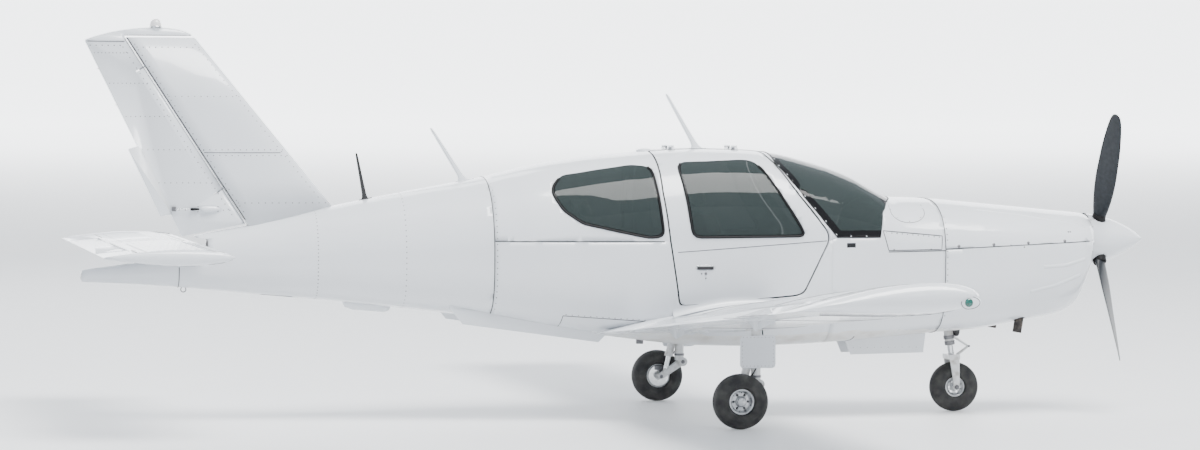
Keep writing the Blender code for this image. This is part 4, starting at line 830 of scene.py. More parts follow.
def window_glass():
    """Tinted acrylic whose border, held by a vertex attribute, is black and solid."""
    if "window_glass" in FINISHES:
        return FINISHES["window_glass"]
    tint = colours().glass
    made = finish("window_glass", tint, 0.03, {"IOR": 1.49, "Specular IOR Level": 0.20})
    tree = made.node_tree
    shader = tree.nodes["Principled BSDF"]
    border = tree.nodes.new("ShaderNodeAttribute")
    border.attribute_name = "border"
    color = ramp(made, border.outputs["Fac"], ((0.49, tint), (0.51, (0.006, 0.006, 0.007))))
    tree.links.new(color, shader.inputs["Base Color"])
    solid = tree.nodes.new("ShaderNodeMath")
    solid.operation = "MAXIMUM"
    step = ramp(made, border.outputs["Fac"], ((0.49, (0, 0, 0)), (0.51, (1, 1, 1))))
    tree.links.new(remap(made, texture(made, "Noise", 3.0), 0.74, 0.81), solid.inputs[0])
    tree.links.new(step, solid.inputs[1])
    tree.links.new(solid.outputs["Value"], shader.inputs["Alpha"])
    return made


def blade_paint():
    """Satin dark paint, worn lighter in patches."""
    base, wear = colours().slate, ("Noise", 40.0, 6.0)
    return finish("blade_paint", base, 0.38, {"Specular IOR Level": 0.25},
                  (wear, (0.30, base), (0.75, times(base, 1.9))), (wear, 0.30, 0.48))


def black_plastic():
    """Grained black plastic."""
    grain = ("Noise", 320.0)
    return finish("black_plastic", (0.016, 0.016, 0.018), 0.45, gloss=(grain, 0.36, 0.55),
                  relief=(grain, 0.20, 0.0004))


def bare_metal(name, color, low, high):
    """Cast, turned or brushed metal with uneven gloss."""
    cloud = ("Noise", 30.0, 8.0)
    return finish(name, color, low, {"Metallic": 1.0}, (cloud, (0.30, times(color, 0.78)), (0.70, color)),
                  (cloud, low, high), (cloud, 0.06, 0.0006))


def alloy():
    return bare_metal("wheel_alloy", (0.70, 0.71, 0.72), 0.25, 0.45)


def polished_steel():
    return bare_metal("polished_steel", (0.78, 0.79, 0.80), 0.06, 0.16)


def dark_steel():
    return bare_metal("dark_steel", (0.23, 0.23, 0.24), 0.35, 0.60)


def sooty_steel():
    """Exhaust pipe and engine: browned steel with soot."""
    soot = ("Noise", 22.0, 8.0)
    return finish("sooty_steel", (0.06, 0.055, 0.05), 0.6, {"Metallic": 0.7},
                  (soot, (0.30, (0.016, 0.015, 0.015)), (0.55, (0.060, 0.054, 0.050)), (0.80, (0.16, 0.11, 0.08))),
                  (soot, 0.75, 0.40), (soot, 0.20, 0.001))


def leather():
    """Grained seat leather, a little darker where it is touched."""
    base, wear = colours().leather, ("Noise", 5.0, 6.0)
    return finish("seat_leather", base, 0.45, {"Specular IOR Level": 0.4},
                  (wear, (0.30, times(base, 0.86)), (0.70, times(base, 1.06))), (wear, 0.36, 0.54),
                  (("Voronoi", 420.0), 0.30, 0.0008))


def cabin_trim():
    """Woven lining of the cabin's walls and roof."""
    base, weave = colours().trim, ("Noise", 260.0, 2.0)
    return finish("cabin_trim", base, 0.75, relief=(weave, 0.30, 0.0008),
                  tone=(weave, (0.35, times(base, 0.7)), (0.65, times(base, 1.25))))


def carpet():
    """Short pile on the cabin's floor."""
    pile = ("Noise", 420.0, 4.0)
    return finish("cabin_carpet", (0.07, 0.065, 0.06), 0.95, relief=(pile, 0.8, 0.002),
                  tone=(pile, (0.3, (0.035, 0.033, 0.030)), (0.7, (0.11, 0.10, 0.09))))


def lens(name, color, glow=0.0):
    """A clear coloured lens with a faint inner pattern."""
    return finish(name, color, 0.05,
                  {"Coat Weight": 0.8, "Emission Color": (*color, 1.0), "Emission Strength": glow},
                  (("Noise", 90.0, 1.0), (0.35, times(color, 0.45)), (0.65, color)))


def leg_paint():
    """White enamel on steel, dulled by oil and road dust."""
    dust = ("Noise", 18.0, 8.0)
    return finish("leg_paint", (0.70, 0.71, 0.72), 0.35, {"Coat Weight": 0.3},
                  (dust, (0.30, (0.40, 0.38, 0.35)), (0.48, (0.66, 0.66, 0.66)), (0.70, (0.76, 0.77, 0.78))),
                  (dust, 0.55, 0.25))


def panel_paint():
    """Speckled dark paint of the instrument panel."""
    speck = ("Noise", 240.0, 2.0)
    return finish("panel_paint", (0.075, 0.078, 0.082), 0.6, relief=(speck, 0.20, 0.0004),
                  tone=(speck, (0.35, (0.055, 0.057, 0.060)), (0.65, (0.105, 0.108, 0.112))))


def dial_face():
    """Glossy dark faces of dials and screens."""
    return finish("dial_face", (0.008, 0.009, 0.012), 0.08, {"Coat Weight": 0.6},
                  (("Noise", 50.0, 2.0), (0.30, (0.004, 0.005, 0.008)), (0.70, (0.016, 0.018, 0.024))))


def seat_thread():
    """Twisted thread of the seats' seams."""
    base, twist = times(colours().leather, 0.72), ("Wave", 260.0)
    return finish("seat_thread", base, 0.8, relief=(twist, 0.5, 0.0005),
                  tone=(twist, (0.2, times(base, 0.7)), (0.8, base)))


def webbing():
    """Woven belt."""
    weave = ("Wave", 160.0)
    return finish("belt_webbing", (0.055, 0.055, 0.060), 0.8, relief=(weave, 0.4, 0.0006),
                  tone=(weave, (0.2, (0.030, 0.030, 0.034)), (0.8, (0.085, 0.085, 0.090))))


def beacon_glass():
    """Clear ribbed plastic over a pale lamp, its colour banded with the ribs: painted shade in their grooves and
    painted highlight on their crests.
    """
    # One wave gives both the relief of the ribs and the banded colour, so the grooves get painted shade and the
    # crests painted highlight.
    ribs = ("Wave", 60.0, 3.0, "Z")
    return finish("beacon_glass", (0.80, 0.80, 0.80), 0.06, {"Coat Weight": 0.8}, relief=(ribs, 0.3, 0.001),
                  tone=(ribs, (0.2, (0.52, 0.50, 0.49)), (0.8, (0.88, 0.88, 0.88))))


def walkway_grit():
    """Grit paint of the wing's walkway."""
    grit = ("Voronoi", 520.0)
    return finish("walkway_grit", (0.075, 0.085, 0.10), 0.9, relief=(grit, 0.7, 0.0012),
                  tone=(grit, (0.1, (0.045, 0.052, 0.065)), (0.6, (0.13, 0.145, 0.17))))


# Hull skins

FLOOR_Z = 0.80
HULL_SKINS = ("cabin_tub", "roof_frame", "forward_fuselage", "rear_fuselage", "cowl_upper", "cowl_lower",
              "door_left", "door_right", "luggage_door")


def skin_finish(bm):
    """Paint outside, trim on the walls inside the cabin, carpet on the floor, and grime under the belly."""
    for face in bm.faces:
        centre = face.calc_center_median()
        waist = hull_value(centre.x, 4)
        out = Vector((0.0, centre.y, centre.z - waist))
        angle = math.atan2(out.z, out.y) % math.tau
        depth = smooth_reach(centre.x, angle) - out.length
        inward = face.normal.dot(out.normalized()) < -0.2
        if face.normal.z > 0.9 and abs(centre.z - FLOOR_Z) < 0.01:
            face.material_index = 2
        elif inward or depth > 0.040:
            face.material_index = 1
        elif centre.z < 0.62 and face.normal.z < -0.75:
            face.material_index = 3
        else:
            face.material_index = 0


class AIRCRAFT_OT_hull(bpy.types.Operator):
    """Smooth skins for the cabin, the nose, the tail cone, the cowling and the doors"""
    bl_idname = "aircraft.hull"
    bl_label = "Hull skins"

    def execute(self, context):
        pitch = sizes().skin_pitch
        for node in HULL_SKINS:
            bm = refine(node_copy(node), (pitch, pitch, pitch))
            round_hull(bm)
            bm.normal_update()
            skin_finish(bm)
            piece("skin_" + node, bm, [white_paint(), cabin_trim(), carpet(), belly_paint()], body_of(node),
                  (node,), 40.0)
        return {"FINISHED"}


# Glass

PANES = ("windshield", "door_glass_left", "door_glass_right", "rear_window_left", "rear_window_right")


def pairs(points, closed):
    """Each point of a run with the next one."""
    return list(zip(points, points[1:] + points[:1] if closed else points[1:]))


def border_share(bm, runs, width):
    """Marks each vertex with 1 at a pane's rim, falling to 0 at twice the border's width."""
    layer = bm.verts.layers.float.new("border")
    segments = [pair for run in runs for pair in pairs(*run)]
    for vertex in bm.verts:
        nearest = 9.0
        for a, b in segments:
            along = b - a
            t = max(0.0, min(1.0, (vertex.co - a).dot(along) / max(along.length_squared, 1e-12)))
            nearest = min(nearest, (vertex.co - a - along * t).length)
        vertex[layer] = max(0.0, 1.0 - nearest / (2 * width))


def rounded_runs(runs):
    """Runs on the solids' skin moved out to the true curve, with long stretches divided."""
    result = []
    for points, closed in runs:
        fine = []
        for a, b in pairs(points, closed):
            count = max(1, round((b - a).length / 0.02))
            fine += [a.lerp(b, k / count) for k in range(count)]
        if not closed:
            fine.append(points[-1])
        bm = bmesh.new()
        for point in fine:
            bm.verts.new(point)
        round_hull(bm)
        result.append(([vertex.co.copy() for vertex in bm.verts], closed))
        bm.free()
    return result


class AIRCRAFT_OT_glass(bpy.types.Operator):
    """Window panes with their black borders, rubber seals and the windshield's screws"""
    bl_idname = "aircraft.glass"
    bl_label = "Windows"

    def execute(self, context):
        for node in PANES:
            runs = rounded_runs(rim_runs(node_copy(node), on_skin, 1))
            width = sizes().frit if node == "windshield" else sizes().window_border
            fine = 0.020 if node == "windshield" else 0.016
            bm = round_hull(refine(node_copy(node), (fine, fine, fine)))
            border_share(bm, runs, width)
            piece("pane_" + node, bm, [window_glass()], body_of(node), (node,), 40.0)
            radius = 0.0045 if node == "windshield" else 0.0085
            beads("seal_" + node, runs, radius, rubber(), body_of(node))
            if node == "windshield":
                self.screws(runs)
        return {"FINISHED"}

    def screws(self, runs):
        """White screw heads all along the border."""
        middle, pitch, inset = Vector((1.45, 0.0, 1.50)), 0.105, 0.017
        places = []
        for points, _ in runs:
            gone = 0.0
            for a, b in pairs(points, False):
                gone += (b - a).length
                if gone > pitch:
                    gone = 0.0
                    near = a + (middle - a).normalized() * inset
                    angle = math.atan2(near.z - hull_value(near.x, 4), near.y)
                    places.append(on_angle(near.x, angle))
        studs("windshield_screws", places, 0.0050, 0.0022, white_paint(), segments=10)


# Seams, rivets and small fittings of the hull

def side_run(outline, sign, lift=0.0, pitch=0.03):
    """Points along an outline of x and z, on one side of the hull."""
    places = []
    for a, b in zip(outline, outline[1:]):
        places += between(a, b, max(1, round(math.dist(a, b) / pitch)))[:-1]
    return [on_side(x, z, sign, lift)[0] for x, z in places + [outline[-1]]]


def ring_run(x, start, end, count=96):
    """Points round the hull at x, between two angles in degrees from port, over the top."""
    return [on_angle(x, math.radians(start + (end - start) * k / count))[0] for k in range(count + 1)]


DOOR_SEAM = ((0.224, 1.186), (1.300, 1.262))
SIDE_SEAMS = (
    ((2.194, 1.196), (3.320, 1.242)),
    ((-1.040, 1.262), (0.130, 1.262)),
    ((-0.560, 0.742), (0.050, 0.700)),
    ((-0.560, 0.742), (-0.565, 0.660)),
    ((1.760, 1.180), (2.185, 1.186)),
    ((1.720, 1.330), (2.167, 1.290), (2.160, 1.195), (1.760, 1.190), (1.720, 1.330)),
)
# Creases of the cowl's skin, each a run of x and z in side view and its bead's radius
COWL_CREASES = (
    (((2.484, 1.470), (2.816, 1.432), (3.199, 1.372), (3.304, 1.340)), 0.016),
    (((2.943, 1.063), (3.116, 1.072), (3.275, 1.114)), 0.022),
    (((2.848, 0.885), (3.048, 0.930), (3.241, 1.002)), 0.022),
)
RIVET_LINES = (
    ((-1.025, 0.745), (-1.025, 1.655)),
    ((-0.540, 0.750), (0.050, 0.708)),
    ((2.205, 1.180), (2.205, 0.720)),
    ((2.205, 1.260), (2.205, 1.380)),
    ((1.745, 1.316), (2.145, 1.282)),
)


def rivets_along(outline, sign, pitch):
    """Places of rivets on the hull's side along an outline of x and z."""
    return [on_side(x, z, sign) for a, b in zip(outline, outline[1:])
            for x, z in between(a, b, max(1, int(math.dist(a, b) / pitch)))]


class AIRCRAFT_OT_hull_details(bpy.types.Operator):
    """Panel seams, rivets, door handles, locks, vent openings in painted shade, latches and belly fittings"""
    bl_idname = "aircraft.hull_details"
    bl_label = "Hull details"

    def execute(self, context):
        self.seams()
        self.rivets()
        self.door_fittings()
        self.nose_fittings()
        self.cowl_creases()
        self.belly_fittings()
        return {"FINISHED"}

    def seams(self):
        """Dark lines where panels meet, and the seals round the doors."""
        width = sizes().seam
        fixed = []
        for side, sign in SIDES:
            fixed += [(side_run(outline, sign), False) for outline in SIDE_SEAMS]
            door_line = [(side_run(DOOR_SEAM, sign), False)]
            beads("door_waist_seam_" + side, door_line, width * 0.8, seam_black(), "door_" + side)
        fixed += [(ring_run(x, 0, 360)[:-1], True) for x in (CABIN_REAR_X, FIREWALL_X)]
        fixed.append((ring_run(-3.190, 180, 360), False))
        fixed += [(ring_run(x, 235, 305, 30), False) for x in (0.900, 1.560)]
        beads("hull_seams", fixed, width, seam_black())
        for side, _ in SIDES:
            beads("door_seal_" + side, rounded_runs(rim_runs(node_copy("door_" + side), on_skin)), 0.0022,
                  seam_black(), "door_" + side)
        lid = []
        for points, _ in rounded_runs(rim_runs(node_copy("luggage_door"), on_skin)):
            start = next((k for k, point in enumerate(points) if at_luggage_hinge(point)), 0)
            points = points[start:] + points[:start]
            lid.append(([point for point in points if point.z < LUGGAGE_HINGE_Z - 0.02], False))
        beads("luggage_seal", [run for run in lid if len(run[0]) > 2], 0.0020, seam_black(), "luggage_door")

    def rivets(self):
        """Rivets in rows on the hull's sides and in rings round its tail cone."""
        places = []
        for _, sign in SIDES:
            for outline in RIVET_LINES:
                places += rivets_along(outline, sign, sizes().rivet_pitch)
        places += [on_angle(x, angle) for x in (-1.640, -2.240) for angle in angles(64)]
        studs("hull_rivets", places, sizes().rivet, 0.0012, rivet_paint())

    def door_fittings(self):
        """A flush handle with its surround, the lock and two pins on each door."""
        for side, sign in SIDES:
            body = "door_" + side
            handle = rounded_block((-0.059, -0.011, -0.0035), (0.059, 0.011, 0.0035), 0.003)
            self.lay_along(handle, *on_side(0.418, 1.076, sign, 0.003))
            piece("door_handle_" + side, handle, [black_plastic()], body)
            surround = [on_side(0.418 + 0.071 * math.cos(a), 1.078 + 0.019 * math.sin(a), sign)[0]
                        for a in angles(24)]
            beads("door_handle_edge_" + side, [(surround, True)], 0.0016, polished_steel(), body)
            lock, *pins = (on_side(x, z, sign) for x, z in ((0.422, 1.037), (0.422, 1.005), (0.392, 1.037)))
            studs("door_locks_" + side, [lock], 0.011, 0.006, dark_steel(), body, 20)
            studs("door_lock_pins_" + side, pins, 0.006, 0.004, dark_steel(), body, 14)

    def lay_along(self, bm, point, out):
        """Stands a piece made flat with its length along X on a side of the hull."""
        along = Vector((1, 0, 0))
        along = (along - out * along.dot(out)).normalized()
        rise = out.cross(along)
        turn = Matrix((along, rise, out)).transposed().to_4x4()
        bmesh.ops.transform(bm, matrix=Matrix.Translation(point) @ turn, verts=bm.verts)

    def nose_fittings(self):
        """The cowl's latches and pins, the fresh air vent's opening drawn as a dark slab of painted shade, and the
        panel before the windshield.
        """
        for side, sign in SIDES:
            latch = [on_side(x, z, sign) for x, z in
                     ((2.289, 1.216), (2.555, 1.226), (2.822, 1.236), (3.110, 1.246))]
            studs("cowl_latches_" + side, latch, 0.0125, 0.004, dark_steel(), segments=18)
            pins = [on_side(x, z, sign) for x, z in ((1.800, 1.196), (2.080, 1.196), (2.790, 1.206), (3.150, 1.310),
                                                     (3.165, 1.310))]
            studs("cowl_pins_" + side, pins, 0.0064, 0.003, dark_steel(), segments=12)
            # The vent's opening is a dark slab in the gap-shadow finish: painted shade where the inside of the
            # opening is in shade.
            vent = rounded_block((-0.034, -0.017, -0.010), (0.034, 0.017, 0.0012), 0.004, 2)
            self.lay_along(vent, *on_side(1.480, 1.229, sign, 0.0006))
            piece("fresh_air_vent_shade_" + side, vent, [seam_black()])
            hatch = [(1.935 + 0.135 * math.cos(a), 1.468 + 0.085 * math.sin(a))
                     for a in [math.pi + math.pi * k / 12 for k in range(13)]]
            outline = [(1.800, 1.505)] + hatch + [(2.070, 1.505)]
            beads("deck_panel_" + side, [(side_run(outline, sign), False)], sizes().seam * 0.6, seam_black())
            heads = [on_side(x * 0.96 + 1.935 * 0.04, z + 0.010, sign) for x, z in hatch[::3]]
            studs("deck_panel_screws_" + side, heads, 0.0045, 0.002, dark_steel(), segments=10)

    def cowl_creases(self):
        """Raised creases along the cowl's hump, over its inlets and on its chin, sunk in the skin."""
        for side, sign in SIDES:
            bm = bmesh.new()
            for outline, radius in COWL_CREASES:
                take_in(bm, add_bead(side_run(outline, sign, -radius * 0.80, 0.02), radius, False, 6))
            piece("cowl_creases_" + side, bm, [white_paint()], smooth=80.0)

    def belly_fittings(self):
        """A keel fairing, the tie-down ring, a hatch line, drains, and the blisters below and on the roof."""
        stations = ((-2.036, 0.010, 0.832, 0.010), (-2.020, 0.026, 0.824, 0.036), (-1.960, 0.034, 0.812, 0.044),
                    (-1.740, 0.034, 0.790, 0.040), (-1.706, 0.026, 0.792, 0.030), (-1.696, 0.010, 0.794, 0.010))
        keel = bridged([[Vector((x, half * math.cos(a), z + drop * math.sin(a))) for a in angles(20)]
                        for x, half, z, drop in stations])
        piece("belly_fairing", keel, [white_paint()], smooth=50.0)
        eye = Vector((-3.150, 0.0, hull_low_z(-3.150, 0.0) - 0.013))
        ring = [eye + Vector((math.cos(a), 0.0, math.sin(a))) * 0.018 for a in angles(20)]
        beads("tie_down_ring", [(ring, True)], 0.0035, dark_steel())
        plate = [(side_run(((-2.617, 0.884), (-2.398, 0.866)), sign), False) for _, sign in SIDES]
        beads("tail_hatch_line", plate, sizes().seam * 0.7, seam_black())
        blister = dome((0.085, 0.028, 0.022), (-0.90, 0.0, hull_low_z(-0.90, 0.0) - 0.004), 24)
        piece("marker_blister", blister, [black_plastic()], smooth=60.0)
        for index, x in enumerate((-0.28, 0.10)):
            stub = rounded_block((x - 0.026, -0.012, hull_low_z(x, 0) - 0.034),
                                 (x + 0.026, 0.012, hull_low_z(x, 0) + 0.010), 0.006, 2)
            piece("belly_drain_%d" % index, stub, [dark_steel()])
        receiver = dome((0.060, 0.060, 0.018), (0.128, 0.0, hull_value(0.128, 1)), 32)
        piece("roof_receiver", receiver, [white_paint()], smooth=60.0)


# Wings

class AIRCRAFT_OT_wings(bpy.types.Operator):
    """Wing skins, tips, flaps and ailerons, with seams, rivets, walkway, caps and lights"""
    bl_idname = "aircraft.wings"
    bl_label = "Wings"

    def execute(self, context):
        for side, sign in SIDES:
            for node in ("wing_", "wing_tip_", "flap_", "aileron_"):
                name = node + side
                bm = node_copy(name)
                if node == "wing_":
                    bm = round_wing(refine(bm, (0.020, 0.300, 0.0)))
                piece("skin_" + name, bm, [white_paint()], body_of(name), (name,), 35.0)
            self.seams(side, sign)
            self.walkway(side, sign)
            self.lights(side, sign)
            self.fillet(side, sign)
        return {"FINISHED"}

    def seams(self, side, sign):
        """Seams and rivet rows above and below, none of them over the wheel's well, and the fuel cap."""
        runs = []
        for up in (1, -1):
            for y in (1.550, 3.520, 4.597):
                runs.append(([on_wing(sign * y, c, up)[0] for c, in between((0.004,), (0.77,), 28)], False))
            runs.append(([on_wing(sign * (0.75 + 3.84 * k / 20), 0.16, up)[0] for k in range(21)], False))
        beads("wing_seams_" + side, runs, sizes().seam * 0.6, seam_black())
        places = [(y, 0.06 + 0.68 * k / 17) for k in range(18) for y in WING_RIBS]
        places += [(0.80 + 3.78 * k / 83, c) for k in range(84) for c in WING_SPARS]
        heads = [on_wing(sign * y, c, up) for up in (1, -1) for y, c in places
                 if up > 0 or y >= 1.25 or not 0.25 < c < 0.75]
        studs("wing_rivets_" + side, heads, sizes().rivet * 0.75, 0.0008, rivet_paint(), segments=6)
        place, out = on_wing(sign * 2.05, 0.22, 1)
        studs("fuel_cap_" + side, [(place, out)], 0.045, 0.005, polished_steel(), segments=36)
        studs("fuel_cap_key_" + side, [(place + out * 0.004, out)], 0.016, 0.006, dark_steel(),
              segments=24)

    def walkway(self, side, sign):
        """Grit strip on top of the wing beside the cabin."""
        bm = bmesh.new()
        bmesh.ops.create_grid(bm, x_segments=30, y_segments=6, size=0.5)
        for vertex in bm.verts:
            c = 0.20 + (vertex.co.x + 0.5) * 0.555
            y = 0.715 + (vertex.co.y + 0.5) * 0.300
            vertex.co = on_wing(sign * y, c, 1, 0.0006)[0]
        bmesh.ops.recalc_face_normals(bm, faces=bm.faces)
        face_up(bm)
        bmesh.ops.solidify(bm, geom=bm.faces[:], thickness=-0.0012)
        piece("walkway_" + side, bm, [walkway_grit()])

    def lights(self, side, sign):
        """Coloured light in a teardrop bezel on the tip, port red and starboard green."""
        color = (0.36, 0.008, 0.008) if sign > 0 else (0.0, 0.115, 0.090)
        centre = Vector((WING_LE_X - 0.095, sign * 4.872, 1.048))
        bezel = dome((0.086, 0.016, 0.044), centre - Vector((0, sign * 0.006, 0)), 40, 0.55)
        piece("tip_light_bezel_" + side, bezel, [white_paint()], smooth=60.0)
        edge = [centre + Vector((0.074 * math.cos(a) * (1.0 if math.cos(a) > 0 else 0.55), sign * 0.0015,
                                 0.038 * math.sin(a))) for a in angles(48)]
        beads("tip_light_edge_" + side, [(edge, True)], 0.0022, seam_black())
        glass = dome((0.026, 0.0143, 0.026), centre + Vector((0.004, sign * 0.006, 0)), 32)
        piece("tip_light_" + side, glass, [lens("tip_lens_" + side, color, 0.05)],
              smooth=60.0)

    def fillet(self, side, sign):
        """A hollow curve between the wing's root and the hull, fading out at the nose of the wing."""
        bm = bmesh.new()
        rows = []
        for c, in between((0.02,), (0.765,), 34):
            size = 0.075 * min(1.0, 0.25 + 1.6 * c)
            row = []
            x = WING_LE_X - c * WING_CHORD
            on_wing_y = hull_y(x, wing_point(0.66, c, foil_height(c, 1)).z) + size
            low = wing_point(on_wing_y, c, foil_height(c, 1)) + Vector((0, 0, 0.0008))
            high_z = low.z + size * 0.85
            high = Vector((x, hull_y(x, high_z) + 0.0008, high_z))
            corner = Vector((x, hull_y(x, low.z), low.z))
            for j in range(8):
                t = j / 7
                point = low * (1 - t) ** 2 + corner * 2 * t * (1 - t) + high * t * t
                row.append(bm.verts.new((point.x, sign * point.y, point.z)))
            rows.append(row)
        for first, second in zip(rows, rows[1:]):
            edges = [bm.edges.new(pair) if not bm.edges.get(pair) else bm.edges.get(pair)
                     for row in (first, second) for pair in zip(row, row[1:])]
            bmesh.ops.bridge_loops(bm, edges=edges)
        bmesh.ops.recalc_face_normals(bm, faces=bm.faces)
        face_up(bm)
        piece("root_fillet_" + side, bm, [white_paint()], smooth=60.0)


# Tail

def along_line(line, z):
    """The x of a straight line of two (x, z) ends at a height."""
    (x0, z0), (x1, z1) = line
    return x0 + (x1 - x0) * (z - z0) / (z1 - z0)


def on_fin(x, z, sign, lift=0.0):
    """A point on the fin's side or on the rudder's, and the way out of it."""
    def half(px, pz):
        front, gap, rear = (along_line(line, pz) for line in (FIN_LE, FIN_GAP, RUDDER_TE))
        chord = front - rear
        if px > gap:
            return max(0.0012, foil_half((front - px) / chord, FIN_THICKNESS)) * chord
        radius = foil_half((front - gap) / chord, FIN_THICKNESS) * chord - 0.001
        return 0.002 + (radius - 0.002) * max(0.0, min(1.0, (px - rear) / (gap - 0.008 - radius - rear)))
    y = half(x, z)
    out = Vector(((half(x - 0.004, z) - y) / 0.004, 1.0, (half(x, z - 0.004) - y) / 0.004)).normalized()
    point = Vector((x, y, z)) + out * lift
    return Vector((point.x, sign * point.y, point.z)), Vector((out.x, sign * out.y, out.z))


def on_stab(x, y, up, lift=0.0):
    """A point on the tailplane's skin, above or below."""
    chord = STAB_LE_X - TAIL_X
    half = max(0.0012, foil_half((STAB_LE_X - x) / chord, STAB_THICKNESS / chord)) * chord
    slope = (max(0.0012, foil_half((STAB_LE_X - x + 0.004) / chord, STAB_THICKNESS / chord)) * chord - half) / 0.004
    out = Vector((slope, 0.0, 1.0)).normalized()
    return Vector((x, y, STAB_Z + up * (half + lift))), Vector((out.x, 0.0, up * out.z))


class AIRCRAFT_OT_tail(bpy.types.Operator):
    """Fin, rudder, tailplane and its tab, with seams, rivets, wicks, beacon and tail light"""
    bl_idname = "aircraft.tail"
    bl_label = "Tail"

    def execute(self, context):
        for name in ("fin", "rudder", "stabilator", "anti_servo_tab", "strake_left", "strake_right"):
            piece("skin_" + name, node_copy(name), [white_paint()], body_of(name), (name,), 35.0)
        self.fin_marks()
        self.rudder_marks()
        self.rudder_tab_rod()
        self.tailplane_marks()
        self.wicks()
        self.lights()
        return {"FINISHED"}

    def side_points(self, start, end, count, sign, lift=0.0):
        """Places in a straight line on the fin's side or the rudder's, with their ways out."""
        return [on_fin(x, z, sign, lift) for x, z in between(start, end, count)]

    def fin_marks(self):
        """The fin's seams and rivets, and the seal in the rudder's gap."""
        runs, heads, seal = [], [], []
        for _, sign in SIDES:
            front = along_line(FIN_LE, 1.870) - 0.060
            rear = along_line(FIN_GAP, 1.870) + 0.020
            runs.append(([point for point, _ in self.side_points((front, 1.870), (rear, 1.870), 14, sign)], False))
            for z, pitch in ((1.850, 0.040), (1.890, 0.040), (2.260, 0.042), (2.600, 0.042), (1.520, 0.045)):
                front = along_line(FIN_LE, z) - 0.030
                rear = along_line(FIN_GAP, z) + 0.030
                heads += self.side_points((front, z), (rear, z), int((front - rear) / pitch), sign)
            heads += self.side_points((along_line(FIN_GAP, 1.46) + 0.028, 1.46),
                                      (along_line(FIN_GAP, 2.62) + 0.028, 2.62), 30, sign)
            heads += self.side_points((along_line(FIN_LE, 1.56) - 0.050, 1.56),
                                      (along_line(FIN_LE, 2.62) - 0.040, 2.62), 30, sign)
            seal.append(([on_fin(along_line(FIN_GAP, z) + 0.0035, z, sign, -0.0030)[0] for z in
                          [1.402 + 0.0316 * k for k in range(41)]], False))
        beads("rudder_gap_seal", seal, 0.0042, rubber())
        beads("fin_seams", runs, sizes().seam * 0.7, seam_black())
        studs("fin_rivets", heads, sizes().rivet * 0.85, 0.001, rivet_paint(), segments=7)

    def rudder_marks(self):
        """The rudder's seams, rivets and fasteners, and its cap's edge."""
        runs, heads, ribs = [], [], []
        for _, sign in SIDES:
            for start, end, count, lift in (((-3.815, 2.640), (-3.560, 2.640), 8, 0.0006),
                                            ((-3.438, 1.881), (-3.240, 1.453), 10, 0.0004)):
                runs.append(([point for point, _ in self.side_points(start, end, count, sign, lift)], False))
            heads += self.side_points((-3.795, 2.612), (-3.590, 2.612), 5, sign)
            for z in (1.470, 1.660, 1.890, 2.120, 2.350, 2.560):
                front, rear = along_line(FIN_GAP, z) - 0.060, along_line(RUDDER_TE, z) + 0.025
                ribs += self.side_points((front, z), (rear, z), 9, sign)
            ribs += self.side_points((along_line(FIN_GAP, 1.44) - 0.066, 1.44),
                                     (along_line(FIN_GAP, 2.60) - 0.066, 2.60), 32, sign)
        beads("rudder_seams", runs, sizes().seam * 0.8, seam_black(), "rudder")
        studs("cap_fasteners", heads, 0.0046, 0.002, dark_steel(), "rudder", 10)
        studs("rudder_rivets", ribs, sizes().rivet * 0.85, 0.001, rivet_paint(), "rudder", 7)
        cap_line = []
        for _, sign in SIDES:
            cap_line.append(([Vector((x, sign * (max(0.004, foil_half((-3.092 - x) / 0.740, FIN_THICKNESS) * 0.740)
                                                 + 0.0002), 2.682))
                              for x in [-3.100 - 0.046 * k for k in range(11)]], False))
        beads("cap_edge", cap_line, 0.0016, seam_black(), "rudder")

    def rudder_tab_rod(self):
        """The rod that moves the rudder's tab, in its bellows and its teardrop fairing on the starboard side."""
        start, end = on_fin(-3.215, TAB_ROD_Z, -1, 0.018)[0], on_fin(-3.040, TAB_ROD_Z, -1, 0.016)[0]
        beads("tab_rod", [([start, end], False)], 0.0036, polished_steel(), "rudder", 3)
        along = (end - start).normalized()
        folds = [(0.0, 0.0), (0.0, 0.004)]
        for k in range(6):
            folds += [(0.004 + 0.010 * k, 0.0125 - 0.0009 * k), (0.009 + 0.010 * k, 0.0075)]
        boot = spun(folds + [(0.064, 0.004), (0.064, 0.0)], end - along * 0.064, along, 28)
        piece("tab_rod_bellows", boot, [rubber()], "rudder", smooth=40.0)
        fairing = dome((0.090, 0.020, 0.022), on_fin(FAIRING_X, TAB_ROD_Z, -1, 0.004)[0], 40, 0.55)
        piece("tab_rod_fairing", fairing, [white_paint()], "rudder", smooth=60.0)
        plate = [[on_fin(FAIRING_X + wide * math.cos(a), TAB_ROD_Z + high * math.sin(a), -1, lift)[0]
                  for a in angles(40)] for wide, high, lift in ((0.101, 0.032, -0.003), (0.100, 0.031, 0.0016))]
        piece("tab_rod_plate", bridged(plate), [white_paint()], "rudder", smooth=50.0)
        screws = [on_fin(FAIRING_X + dx, TAB_ROD_Z + dz, -1, 0.0018) for dx, dz in
                  ((0.072, 0.017), (0.072, -0.017), (-0.066, 0.018), (-0.066, -0.018))]
        studs("tab_rod_screws", screws, 0.0042, 0.002, dark_steel(), "rudder", 10)
        horn = rounded_block((-3.232, start.y - 0.004, 1.462), (-3.202, -0.004, 1.494), 0.003, 2)
        piece("tab_rod_horn", horn, [dark_steel()], "rudder")

